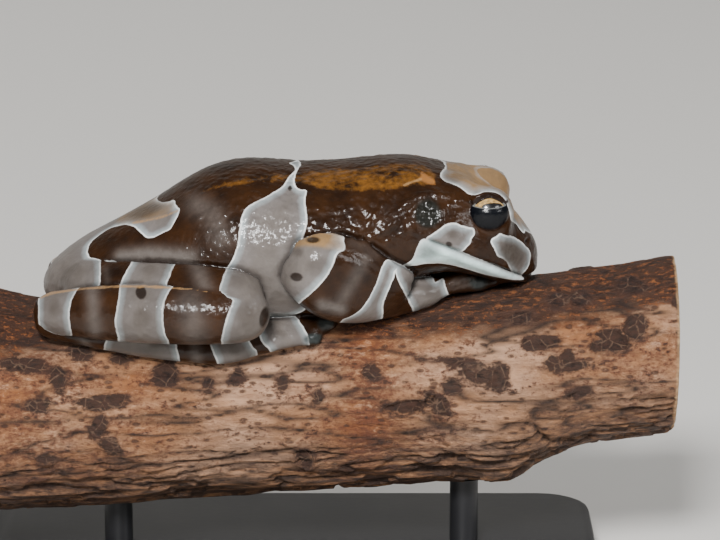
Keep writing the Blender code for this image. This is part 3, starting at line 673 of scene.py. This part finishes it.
def frog_skin_material():
    """Living frog skin: smooth and wet with mucus, so its gloss is sharp over soft fine warts."""
    look = bpy.context.scene.milk_frog_skin
    material, tree, place = new_material("wet_frog_skin")
    at = {name: node(tree, "Attribute", out="Fac", attribute_name=name) for name in (
        "patch", "spot", "line", "cloud", "bloom", "disc", "tan", "jaw", "ochre", "fleck", "warty",
        "lid", "lid_edge", "upper_lid", "drum", "mouth", "nose", "groove")}
    # Noises, with the size of their grain in millimetres, their detail and their roughness
    for name, size, detail, rough in (
            ("ragged", 1.6, 3, 0.6), ("cloudy", 4.0, 5, 0.6), ("speckle", 1.1, 5, 0.7), ("fine", 0.4, 3, 0.5)):
        at[name] = node(tree, "TexNoise", {
            "Vector": place, "Scale": 1 / (size * MM), "Detail": detail, "Roughness": rough})
    at["warts"] = node(tree, "TexVoronoi", {"Vector": place, "Scale": 1 / (0.95 * MM)}, feature="SMOOTH_F1")
    at["blotchy"] = node(tree, "MapRange", {0: at["cloudy"], 1: 0.3, 2: 0.7, 3: 0.55, 4: 1.3})
    # Each of these is its first term times its second, plus its third
    for name, *terms in (
            ("wobble", "ragged", 1.0, -0.5), ("inside", "wobble", 0.45, "patch"),
            ("depth", "inside", 0.2, 0.0), ("lined", "wobble", 0.5, "line"),
            ("flecked", "wobble", 0.9, "fleck"), ("mottle", "cloudy", 0.8, "speckle"),
            ("grown", "mottle", 1.3, "ochre"),
            ("blooming", "blotchy", "bloom", 0.0), ("wart", "warts", "warty", 0.0),
            ("height", "fine", 0.18, "wart")):
        terms = {i: at.get(term, term) for i, term in enumerate(terms)}
        at[name] = node(tree, "Math", terms, operation="MULTIPLY_ADD")
    # Painted shade goes into the folds' grooves, the mouth's line and the nostrils
    for name in ("mouth", "nose"):
        at["groove"] = node(tree, "Math", {0: at["groove"], 1: at[name]}, operation="MAXIMUM")

    grey, warm, cool = (node(tree, "ValToRGB", {0: at["depth"]}, stops=[(0.0, look.rim), *stops]) for stops in (
        [(0.035, look.rim), (0.07, look.near_rim), (0.26, look.pale), (0.7, look.deep)],
        [(0.05, linear("#d2c8bb")), (0.16, linear("#a3968a")), (0.5, look.tan)],
        [(0.1, linear("#d3e6e6")), (0.3, look.jaw)]))
    pale = coats(tree, look, at, grey, (
        (warm, "tan", 0, 1, 1),
        (cool, "jaw", 0, 1, 1),
        ("cloud", "cloudy", 0.35, 0.72, 0.5),
        ("cloud", "cloud", 0, 1, 1),
        ("spot", "spot", -0.1, 0.12, 0.9)))
    dark = node(tree, "ValToRGB", {0: at["cloudy"]}, stops=[(0.3, look.dark), (0.75, look.brown)])
    colour = coats(tree, look, at, dark, (
        # Greyer middles of the dark bands, partly painted sheen and reflections
        ("bloom", "blooming", 0, 1, 1),
        ("ochre", "grown", 1.95, 2.5, 0.85),
        ("fleck", "flecked", -0.12, 0.2, 0.9),
        (pale, "inside", -0.05, 0.05, 1),
        # Thin light lines, the shank's partly a painted highlight along its top edge
        ("line", "lined", -0.26, -0.06, 0.65),
        ("disc", "disc", 0, 1, 0.85),
        ("drum", "drum", 0, 1, 0.85),
        ("dark", "upper_lid", 0, 1, 1),
        ("lid", "lid", 0, 1, 1),
        ("lid_edge", "lid_edge", 0.16, 0.08, 0.5),
        # Painted shade in the folds' grooves, the mouth's line and the nostrils
        ("fold", "groove", 0, 1, 0.75)))
    bump = node(tree, "Bump", {"Height": at["height"], "Strength": 1.0, "Distance": 0.3 * MM}, invert=True)
    finish_material(tree, Base_Color=colour, Roughness=0.42, IOR=1.4, Specular_IOR_Level=0.14,
                    Coat_Weight=0.36, Coat_Roughness=0.08, Normal=bump, Coat_Normal=bump)
    return material


def make_skin():
    """The skin: solids grown together and eased, then given folds, a face, lids and markings."""
    mesh = flesh_mesh(bpy.context.scene.milk_frog_skin.grain)
    ease_surface(mesh)
    refine_face(mesh)
    press_folds(mesh)
    shape_face(mesh)
    form_lids(mesh)
    paint(mesh)
    piece = mesh_object("skin", mesh, frog_skin_material())
    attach(piece, "root")
    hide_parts(*FLESH)


# The frog's eyes

def eye_material():
    """A living frog's eye: gold iris with dark veins under a clear wet cornea."""
    look = bpy.context.scene.milk_frog_eyes
    material, tree, place = new_material("wet_gold_eye")
    at, squares = {}, {}
    for i, (name, middle, half) in enumerate((("round_eye", look.pupil_turn, look.pupil_width),
                                              ("up_eye", look.pupil_height, look.pupil_depth))):
        off = node(tree, "Attribute", out="Fac", attribute_name=name)
        for other, operation in ((middle, "SUBTRACT"), (half, "DIVIDE"), (2.0, "POWER")):
            off = node(tree, "Math", {0: off, 1: other}, operation=operation)
        squares[i] = off
    at["off_pupil"] = node(tree, "Math", squares, operation="ADD")
    at["veins"] = node(tree, "TexVoronoi", {"Vector": place, "Scale": 1 / (0.35 * MM)},
                       feature="DISTANCE_TO_EDGE")
    cloud = node(tree, "TexNoise", {"Vector": place, "Scale": 1 / (0.5 * MM), "Detail": 4.0})
    gold = node(tree, "ValToRGB", {0: cloud}, stops=[(0.3, look.dark_gold), (0.65, look.gold)])
    colour = coats(tree, look, at, gold, (
        ("veins", "veins", 0.09, 0.0, 0.45),
        ("pupil", "off_pupil", 1.15, 1.0, 1)))
    finish_material(tree, Base_Color=colour, Roughness=0.35, IOR=1.38, Coat_Weight=1.0, Coat_Roughness=0.03)
    return material


def make_eyes():
    """Both eyeballs, each with its iris round a lying pupil that looks out and a little up and forwards."""
    both = bmesh.new()
    for side in (-1, 1):
        place = Matrix.Translation((EYE_CENTRE[0], side * EYE_CENTRE[1], EYE_CENTRE[2] + DATUM_HEIGHT))
        bmesh.ops.create_uvsphere(both, u_segments=72, v_segments=48, radius=EYE_RADIUS, matrix=place)
    bmesh.ops.scale(both, vec=(MM, MM, MM), verts=both.verts)
    for face in both.faces:
        face.smooth = True
    mesh = mesh_of("eyes", both)
    _, _, turn, rise = from_eye(points_of(mesh))
    give(mesh, round_eye=turn, up_eye=rise)
    piece = mesh_object("eyes", mesh, eye_material())
    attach(piece, "root")
    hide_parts("eye_right", "eye_left")


# The branch

# Scars and knots on the bark, read in the photograph's frame: where, half their width and height, lean in
# degrees, and how far they stand out in millimetres
SCARS = (
    (168, 376, 13, 14, 10, 0.25), (208, 382, 5, 5, 0, 0.2), (236, 377, 6, 9, 30, 0.2), (40, 405, 12, 7, 0,
    0.25), (102, 403, 24, 8, -10, 0.25), (98, 425, 7, 12, 20, 0.2), (58, 380, 5, 10, 0, 0.2), (110, 445, 12, 7,
    10, 0.25), (45, 460, 10, 5, 0, 0.2), (478, 375, 20, 9, 8, -0.4), (500, 376, 9, 12, 0, 0.3), (452, 386, 9, 8,
    0, 0.3), (457, 362, 16, 6, 15, 0.15), (545, 343, 15, 7, 0, 0.2), (568, 357, 6, 7, 0, 0.25), (552, 362, 6, 6,
    0, 0.25), (532, 342, 7, 8, 0, 0.2), (612, 341, 15, 11, 10, -0.3), (636, 328, 10, 12, 30, 0.25), (600, 345,
    8, 7, 0, 0.2), (570, 368, 22, 5, -5, 0.15), (700, 317, 9, 7, 0, 0.3), (707, 360, 13, 9, 10, -0.5), (405,
    408, 20, 7, -8, -0.7), (438, 404, 12, 7, 40, -0.4), (430, 398, 6, 4, 60, -0.4), (372, 372, 9, 8, 0, 0.2),
    (580, 393, 11, 4, -12, -0.3), (560, 302, 12, 7, 0, 0.2), (520, 318, 10, 5, 0, 0.2), (630, 285, 12, 7, 0,
    0.2), (580, 300, 10, 8, 0, 0.2), (680, 305, 5, 7, 0, 0.2), (80, 352, 14, 6, 5, 0.2), (20, 365, 16, 6, 0,
    0.2), (120, 360, 10, 6, 0, 0.15), (305, 460, 10, 8, 20, -0.4), (318, 395, 3, 6, 20, 0.1), (283, 383, 4, 5,
    0, 0.1), (320, 400, 4, 4, 0, 0.1),
)
SAWN_FACES = 57.5  # nothing nearer the middle is a sawn end, in millimetres
FAR_SIDE_SHIFT = 45.0  # pixels that the far side's scars are moved by, so that they mirror nothing


def branch_height(x):
    """Height of the branch's middle line over the datum, in millimetres."""
    return 0.080 * x + 0.00088 * x * x


def stretched_noise(points, long, wide, seed, octaves=3):
    """Noise that is stretched along the branch: long and wide are its grain in millimetres."""
    scaled = points / np.array((long, wide, wide)) + seed
    return np.array([noise.fractal(Vector(p), 0.8, 2.0, octaves) for p in scaled])


def add_scars(points, height, fibre, plates):
    """Adds the scars to the bark's height, and gives how far each point lies inside one, in pixels."""
    places, near = seen(points), points[:, 1] < 0
    scar = np.full(len(points), -MARK_REACH)
    for x, y, wide, high, lean, rise in SCARS:
        for mirror in (False, True):
            chosen = near != mirror
            shift = -FAR_SIDE_SHIFT * math.cos(0.05 * x) if mirror else 0
            ring = oval(places[chosen], x + shift, y, wide, high, lean)
            ring += 0.35 * fibre[chosen] + 0.2 * plates[chosen]
            gap = (1 - ring) * min(wide, high)
            scar[chosen] = np.maximum(scar[chosen], gap)
            rim = 0.25 * bell(gap, 1.6) if rise > 0 else 0.4 * bell(gap + 1.5, 1.8)
            height[chosen] += rise * fade(-1.5, 1.5, gap) + rim
    return scar


def make_bark():
    """The branch: ridged, cracked and scarred bark on the solid's shape, with a sawn face at each end."""
    mesh = remeshed("bark", merged_nodes(("perch",)), bpy.context.scene.milk_frog_bark.grain)
    points, edges = points_of(mesh), edges_of(mesh)
    cut = fade(0.5, 0.9, np.abs(normals_of(mesh)[:, 0])) * (np.abs(points[:, 0]) > SAWN_FACES)
    smooth = averaged(points, edges, 60, 0.5 * (1 - averaged(np.minimum(cut * 3, 1), edges, 2)))
    points = smooth + 0.9 * averaged(points - smooth, edges, 60)
    set_points(mesh, points)
    normals, x = normals_of(mesh), points[:, 0]
    over = points[:, 2] - branch_height(x)
    angle = np.abs(np.degrees(np.arctan2(points[:, 1], over)))
    low = fade(70, 150, angle)

    # Ridges, ledges of flaking bark and cracks, which grow towards the underside
    fibre = stretched_noise(points, 14.0, 1.3, 3.1)
    crack = np.clip(1 - np.abs(stretched_noise(points, 22.0, 3.2, 11.7, 2)) * 3.2, 0, 1) ** 3
    plates = stretched_noise(points, 9.0, 3.5, 23.3, 3)
    ledge = fade(-0.02, 0.06, plates + 0.16 * low)
    lumps = stretched_noise(points, 10.0, 8.0, 41.9, 2)
    swirl = bell(x - 33, 9) * bell(angle - 150, 45)
    height = (0.07 + 0.16 * low) * fibre + (0.10 + 0.45 * low) * (ledge - 1) + 0.35 * lumps
    height -= (0.18 + 0.8 * low + 0.5 * swirl) * crack * fade(-0.2, 0.3, lumps + 0.5 * low)
    scar = add_scars(points, height, fibre, plates)
    under_frog = (angle < 62) & (x > -42) & (x < 40)
    height = np.where(under_frog, np.minimum(height, 0.1), height) * (1 - averaged(cut, edges, 3))
    set_points(mesh, points + normals * height[:, None])

    # Dark bark runs along the top, and widest in front of the frog and behind it
    front = fade(-5, 22, x) * (1 - fade(32, 64, angle))
    rear = (1 - fade(-46, -20, x)) * (1 - fade(34, 66, angle))
    dusk = np.max((front, 1.05 * rear, 0.5 * (1 - fade(15, 50, angle))), axis=0)
    # Two stretches along the branch are rusty, and two are free of rust
    rust = bell(x - 12, 5) + 0.5 * bell(x + 42, 8) - 0.9 * bell(x - 33, 7) - 0.8 * bell(x + 7, 9)
    give(mesh, low=low, scar=scar / PIXELS_PER_MM, cut=cut, ring=np.hypot(points[:, 1], over),
         crack=crack, dusk=dusk, rust=rust)
    piece = mesh_object("bark", mesh, bark_material())
    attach(piece, "root")
    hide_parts("perch")


def bark_material():
    """Thin flaking bark of a living branch: fibrous, dry and dull, with dark pores that run along it."""
    look = bpy.context.scene.milk_frog_bark
    material, tree, place = new_material("flaking_branch_bark")
    at = {name: node(tree, "Attribute", out="Fac", attribute_name=name)
          for name in ("low", "scar", "cut", "ring", "crack", "dusk", "rust")}
    # Noises: their scale along the branch, which draws their grain out where it is under 1, then the grain's
    # size in millimetres, their detail and their roughness
    for name, stretch, size, detail, rough in (
            ("broad", 0.42, 11, 4, 0.65), ("blotch", 0.6, 3.0, 6, 0.7), ("grit", 0.6, 0.75, 6, 0.75),
            ("streak", 0.16, 0.8, 6, 0.65), ("flake", 0.35, 1.5, 5, 0.7)):
        laid = node(tree, "Mapping", {"Vector": place, "Scale": (stretch, 1, 1)}, vector_type="POINT")
        at[name] = node(tree, "TexNoise", {
            "Vector": laid, "Scale": 1 / (size * MM), "Detail": detail, "Roughness": rough})
    laid = node(tree, "Mapping", {"Vector": place, "Scale": (0.5, 1, 1)}, vector_type="POINT")
    at["pores"] = node(tree, "TexVoronoi", {"Vector": laid, "Scale": 1 / (1.35 * MM)}, feature="F1")
    at["plates"] = node(tree, "TexVoronoi", {"Vector": place, "Scale": 1 / (2.3 * MM)},
                        feature="DISTANCE_TO_EDGE")
    # Each of these is its first term times its second, plus its third, or a wave where it has one term
    for name, *terms in (
            ("broader", "broad", 0.7, 0.0), ("mottle", "blotch", 0.3, "broader"),
            ("tone", "rust", -0.12, "mottle"), ("rusted", "rust", 0.12, "grit"),
            ("rusty", "blotch", 0.9, "rusted"), ("near_pore", "grit", 0.7, "pores"),
            ("gritty", "grit", 0.8, "blotch"), ("dusky", "blotch", 1.3, "dusk"),
            ("lower", "flake", 0.9, "low"), ("wander", "blotch", 3.4, -1.7),
            ("ragged", "grit", 0.8, "wander"), ("inside", "scar", 1.0, "ragged"),
            ("crackle", "grit", 0.3, "plates"), ("rind", "grit", 3.0, "ring"),
            ("uneven", "broad", 5.0, "ring"), ("year", "blotch", 0.6, "uneven"),
            ("years", "year", 4.1, 0.0), ("wave", "years"), ("ringed", "blotch", 1.4, "wave"),
            ("rough", "grit", 0.6, "grit")):
        operation = "MULTIPLY_ADD" if len(terms) > 1 else "SINE"
        terms = {i: at.get(term, term) for i, term in enumerate(terms)}
        at[name] = node(tree, "Math", terms, operation=operation)

    base = node(tree, "ValToRGB", {0: at["tone"]}, stops=[
        (0.34, look.orange), (0.48, look.pale), (0.64, look.light)])
    top = coats(tree, look, at, look.red, (("orange", "grit", 0.52, 0.62, 1),))
    below = coats(tree, look, at, look.under, (("pale", "streak", 0.48, 0.68, 1),))
    scarred = coats(tree, look, at, look.scar, (
        ("pore", "grit", 0.4, 0.62, 0.7),
        ("light", "crackle", 0.19, 0.15, 0.16)))
    sawn = coats(tree, look, at, look.wood, (
        (linear("#b08a62"), "streak", 0.4, 0.6, 1),
        (linear("#7c5738"), "ringed", 0.9, 1.75, 0.6),
        ("under", "rind", 17.0, 19.5, 0.7)))
    colour = coats(tree, look, at, base, (
        ("pore", "streak", 0.62, 0.40, 0.35),
        ("rust", "rusty", 0.90, 1.12, 0.8),
        ("light", "flake", 0.60, 0.68, 0.55),
        ("pore", "near_pore", 0.60, 0.50, 0.85),
        ("pore", "grit", 0.55, 0.66, 0.4),
        ("light", "grit", 0.44, 0.34, 0.4),
        ("scar", "gritty", 1.02, 1.14, 0.7),
        (top, "dusky", 0.9, 1.4, 0.92),
        # The underside is painted darker, partly as its old bark and partly as painted shade
        (below, "lower", 0.62, 1.4, 0.88),
        # Painted shade: the cracks' bottoms are darkened
        ("crack", "crack", 0, 1, 1),
        ("pore", "inside", -0.5, 0.1, 0.5),
        (scarred, "inside", 0.05, 0.4, 0.92),
        (sawn, "cut", 0, 1, 1)))
    pore = node(tree, "MapRange", {0: at["near_pore"], 1: 0.50, 2: 0.60, 3: 0.85, 4: 0.0})
    pitted = node(tree, "Math", {0: pore, 1: -0.35, 2: at["rough"]}, operation="MULTIPLY_ADD")
    height = node(tree, "Math", {0: at["blotch"], 1: 0.9, 2: pitted}, operation="MULTIPLY_ADD")
    bump = node(tree, "Bump", {"Height": height, "Strength": 1.0, "Distance": 0.45 * MM})
    finish_material(tree, Base_Color=colour, Roughness=0.62, IOR=1.45, Normal=bump)
    return material


# The stand

def stand_material():
    """Mild steel with satin black paint: even and slightly soft, so its edges catch a dull light."""
    look = bpy.context.scene.milk_frog_stand
    material, tree, place = new_material("satin_black_painted_steel")
    peel = node(tree, "TexNoise", {"Vector": place, "Scale": 1 / (1.2 * MM), "Detail": 2.0})
    dust = node(tree, "TexNoise", {"Vector": place, "Scale": 1 / (18 * MM), "Detail": 5.0})
    colour = node(tree, "ValToRGB", {0: dust}, stops=[(0.35, look.paint), (0.8, look.worn_paint)])
    rough = node(tree, "MapRange", {0: dust, 3: 0.34, 4: 0.46})
    bump = node(tree, "Bump", {"Height": peel, "Strength": 0.12, "Distance": 0.1 * MM})
    finish_material(tree, Base_Color=colour, Roughness=rough, Normal=bump)
    return material


def make_stand():
    """The base and both rods, shaded smooth round their curves and sharp at their edges."""
    shape = merged_nodes(STAND_PARTS)
    bmesh.ops.dissolve_limit(shape, angle_limit=math.radians(0.5), verts=shape.verts, edges=shape.edges)
    bmesh.ops.recalc_face_normals(shape, faces=shape.faces)
    for face in shape.faces:
        face.smooth = True
    for edge in shape.edges:
        edge.smooth = edge.calc_face_angle(0) < math.radians(28)
    piece = mesh_object("stand", mesh_of("stand", shape), stand_material())
    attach(piece, "root")
    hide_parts("stand_base", "stand_rod_front", "stand_rod_rear")


# Stage

def make_floor(colour):
    """A pale sheet that lies under the object and curves up behind it."""
    front, bend, radius, top, half_width = -1.6, 1.2, 0.5, 2.6, 2.2
    turns = [math.radians(90 * step / 12) for step in range(13)]
    curve = [(bend + radius * math.sin(turn), radius * (1 - math.cos(turn))) for turn in turns]
    shape = bmesh.new()
    corners = [shape.verts.new((-half_width, y, z)) for y, z in [(front, 0.0), *curve, (bend + radius, top)]]
    edges = [shape.edges.new(pair) for pair in zip(corners, corners[1:])]
    swept = bmesh.ops.extrude_edge_only(shape, edges=edges)["geom"]
    moved = [v for v in swept if isinstance(v, bmesh.types.BMVert)]
    bmesh.ops.translate(shape, vec=(2 * half_width, 0, 0), verts=moved)
    bmesh.ops.recalc_face_normals(shape, faces=shape.faces)
    for face in shape.faces:
        face.smooth = True
    material, tree, place = new_material("pale_studio_paper")
    tooth = node(tree, "TexNoise", {"Vector": place, "Scale": 400.0, "Detail": 2.0})
    bump = node(tree, "Bump", {"Height": tooth, "Strength": 0.05, "Distance": 0.0002})
    finish_material(tree, Base_Color=colour, Roughness=0.8, Normal=bump)
    mesh_object("studio_sheet", mesh_of("studio_sheet", shape), material)


def add_lamp(name, place, size, power, mirrored=True):
    """A soft box aimed at the object. Its width is in metres and its power in watts."""
    light = bpy.data.lights.new(name, "AREA")
    light.shape, light.size, light.energy = "SQUARE", size, power
    lamp = bpy.data.objects.new(name, light)
    lamp.location = place
    lamp.rotation_euler = (Vector((0, 0, 0.045)) - Vector(place)).to_track_quat("-Z", "Y").to_euler()
    lamp.visible_glossy = mirrored
    bpy.context.scene.collection.objects.link(lamp)


def light_studio(strength):
    """A small key lamp and large fill and back lamps, with a dim pale sky round them."""
    add_lamp("key_box", (-0.12, -0.80, 0.62), 0.20, 16.0 * strength)
    add_lamp("fill_box", (0.95, -0.55, 0.55), 0.4, 5.0 * strength)
    add_lamp("back_box", (-0.3, 0.75, 1.1), 0.4, 7.0 * strength, mirrored=False)
    world = bpy.data.worlds.new("studio")
    world.use_nodes = True
    sky = world.node_tree.nodes["Background"].inputs
    sky["Color"].default_value, sky["Strength"].default_value = linear("#dfe3e6"), 0.19
    bpy.context.scene.world = world


def place_camera(settings):
    """A camera that sees the object's right side as the photograph does."""
    rise = math.radians(settings.height_angle)
    camera = bpy.data.objects.new("photograph_camera", bpy.data.cameras.new("photograph_camera"))
    camera.data.sensor_width = 36.0
    camera.data.lens = 36.0 * settings.distance / settings.width_seen
    camera.data.clip_start, camera.data.clip_end = 0.02, 20.0
    target = Vector(VIEW_TARGET) * MM
    camera.location = target + Vector((0, -math.cos(rise), math.sin(rise))) * settings.distance
    camera.rotation_euler = (math.pi / 2 - rise, 0, 0)
    bpy.context.scene.collection.objects.link(camera)
    bpy.context.scene.camera = camera


def shade(name, description, code):
    return FloatVectorProperty(name=name, description=description, default=linear(code), size=4, min=0, max=1,
                               subtype="COLOR")


def measure(name, description, default, **more):
    return FloatProperty(name=name, description=description, default=default, **more)


class MilkFrogSkinSettings(bpy.types.PropertyGroup):
    grain: measure("Mesh grain", "Size of the skin mesh's faces", 0.45 * MM, unit="LENGTH", precision=5)
    rim: shade("Rim", "White edge of each pale patch", "#eef0ee")
    near_rim: shade("Within the rim", "Pale patch just inside its white edge", "#a3acae")
    pale: shade("Pale patch", "Grey of the pale patches", "#746e6b")
    deep: shade("Deep pale patch", "Grey in the middle of the widest patches", "#716a65")
    tan: shade("Tan", "Band over the head and the elbows", "#93744f")
    jaw: shade("Jaw", "Lower lip", "#d2ece9")
    brown: shade("Brown", "Lighter brown of the dark bands", "#37200d")
    dark: shade("Dark brown", "Darkest brown of the dark bands", "#1b0e06")
    ochre: shade("Ochre", "Mottled stripe along the back", "#845721")
    spot: shade("Spot", "Spots in the pale patches", "#1c120b")
    cloud: shade("Clouds", "Darker clouds in the pale patches", "#413a34")
    # Partly the bands' own grey and partly painted sheen and reflections
    bloom: shade("Bloom", "Greyer middles of the dark bands", "#625b56")
    fleck: shade("Fleck", "Light fleck behind the head", "#976536")
    # The shank's line is partly a painted highlight along its top edge
    line: shade("Lines", "Thin light lines", "#a98358")
    disc: shade("Discs", "Adhesive discs of the toes and fingers", "#2b3232")
    drum: shade("Eardrum", "Eardrums", "#161a17")
    lid: shade("Lower lid", "Clear lower lid over the dark eye", "#04060c")
    lid_edge: shade("Lid edge", "Edge of the lower lid", "#8d8f8c")
    # Painted shade for the folds, the mouth's line and the nostrils
    fold: shade("Folds", "Bottom of the folds and the mouth's line", "#140c09")


class MilkFrogEyeSettings(bpy.types.PropertyGroup):
    pupil_turn: measure("Pupil turn", "Degrees the pupil is turned forwards from straight out", 14.0)
    pupil_height: measure("Pupil height", "Degrees of the pupil's middle over level", 27.0)
    pupil_width: measure("Pupil half width", "Degrees from the pupil's middle to its ends", 31.0)
    pupil_depth: measure("Pupil half depth", "Degrees from the pupil's middle to its top", 9.5)
    gold: shade("Gold", "Light parts of the iris", "#cda86a")
    dark_gold: shade("Dark gold", "Dark parts of the iris", "#8a6a3a")
    veins: shade("Veins", "Net of dark lines in the iris", "#2a1a0e")
    pupil: shade("Pupil", "Pupil", "#050506")


class MilkFrogBarkSettings(bpy.types.PropertyGroup):
    grain: measure("Mesh grain", "Size of the bark mesh's faces", 0.45 * MM, unit="LENGTH", precision=5)
    pale: shade("Pale bark", "Worn bark on the branch's side", "#ac7c57")
    light: shade("Lightest bark", "Freshly worn places", "#d0a585")
    orange: shade("Orange bark", "Younger bark", "#94592f")
    red: shade("Red bark", "Dark reddish bark on the top", "#2f160c")
    under: shade("Underside", "Shaded old bark below", "#3c2d26")
    pore: shade("Pores", "Small marks along the bark", "#4b3024")
    # Painted shade at the bottom of the cracks
    crack: shade("Cracks", "Bottom of the cracks", "#2a1c16")
    scar: shade("Scars", "Knots and scars", "#1d1310")
    rust: shade("Rust", "Rusty flecks on worn bark", "#663520")
    wood: shade("Sawn wood", "Sawn ends", "#cba67a")


class MilkFrogStandSettings(bpy.types.PropertyGroup):
    paint: shade("Paint", "Satin black paint", "#1b1b1d")
    worn_paint: shade("Worn paint", "Paint that is handled more", "#242426")


class MilkFrogStageSettings(bpy.types.PropertyGroup):
    height_angle: measure("Height angle", "Degrees of the camera over level", VIEW_HEIGHT_ANGLE)
    distance: measure("Distance", "From the camera to its target", VIEW_DISTANCE * MM, unit="LENGTH")
    width_seen: measure("Width seen", "Width of the frame at the target", VIEW_WIDTH * MM, unit="LENGTH")
    light: measure("Light", "Strength of all the lamps", 1.0, min=0.0)
    floor: shade("Floor", "Pale studio sheet", "#d9d6d1")


class MILKFROG_OT_skin(bpy.types.Operator):
    """Grow the frog's skin over its solids"""
    bl_idname = "milkfrog.skin"
    bl_label = "Skin"

    def execute(self, context):
        make_skin()
        return {"FINISHED"}


class MILKFROG_OT_eyes(bpy.types.Operator):
    """Make both eyeballs"""
    bl_idname = "milkfrog.eyes"
    bl_label = "Eyes"

    def execute(self, context):
        make_eyes()
        return {"FINISHED"}


class MILKFROG_OT_bark(bpy.types.Operator):
    """Make the branch's bark and sawn ends"""
    bl_idname = "milkfrog.bark"
    bl_label = "Bark"

    def execute(self, context):
        make_bark()
        return {"FINISHED"}


class MILKFROG_OT_stand(bpy.types.Operator):
    """Make the painted base and its rods"""
    bl_idname = "milkfrog.stand"
    bl_label = "Stand"

    def execute(self, context):
        make_stand()
        return {"FINISHED"}


class MILKFROG_OT_stage(bpy.types.Operator):
    """Set the floor, the lights and the camera"""
    bl_idname = "milkfrog.stage"
    bl_label = "Stage"

    def execute(self, context):
        settings = context.scene.milk_frog_stage
        make_floor(settings.floor)
        light_studio(settings.light)
        place_camera(settings)
        return {"FINISHED"}


OPERATORS = (MILKFROG_OT_skin, MILKFROG_OT_eyes, MILKFROG_OT_bark, MILKFROG_OT_stand, MILKFROG_OT_stage)
GROUPS = {
    "milk_frog_skin": MilkFrogSkinSettings,
    "milk_frog_eyes": MilkFrogEyeSettings,
    "milk_frog_bark": MilkFrogBarkSettings,
    "milk_frog_stand": MilkFrogStandSettings,
    "milk_frog_stage": MilkFrogStageSettings,
}


class MILKFROG_PT_pieces(bpy.types.Panel):
    """Lists the frog's pieces and their settings"""
    bl_idname = "MILKFROG_PT_pieces"
    bl_label = "Milk Frog"
    bl_space_type = "VIEW_3D"
    bl_region_type = "UI"
    bl_category = "Milk Frog"

    def draw(self, context):
        for operator, place in zip(OPERATORS, GROUPS):
            box = self.layout.box()
            box.operator(operator.bl_idname)
            settings = getattr(context.scene, place)
            for name in settings.bl_rna.properties.keys():
                if name not in ("rna_type", "name"):
                    box.prop(settings, name)


CLASSES = (*GROUPS.values(), *OPERATORS, MILKFROG_PT_pieces)


def register():
    for made in CLASSES:
        bpy.utils.register_class(made)
    for place, group in GROUPS.items():
        setattr(bpy.types.Scene, place, PointerProperty(type=group))


def unregister():
    for place in GROUPS:
        delattr(bpy.types.Scene, place)
    for made in reversed(CLASSES):
        bpy.utils.unregister_class(made)


def main():
    register()
    bpy.ops.milkfrog.skin()
    bpy.ops.milkfrog.eyes()
    bpy.ops.milkfrog.bark()
    bpy.ops.milkfrog.stand()
    bpy.ops.milkfrog.stage()


if __name__ == "__main__":
    main()
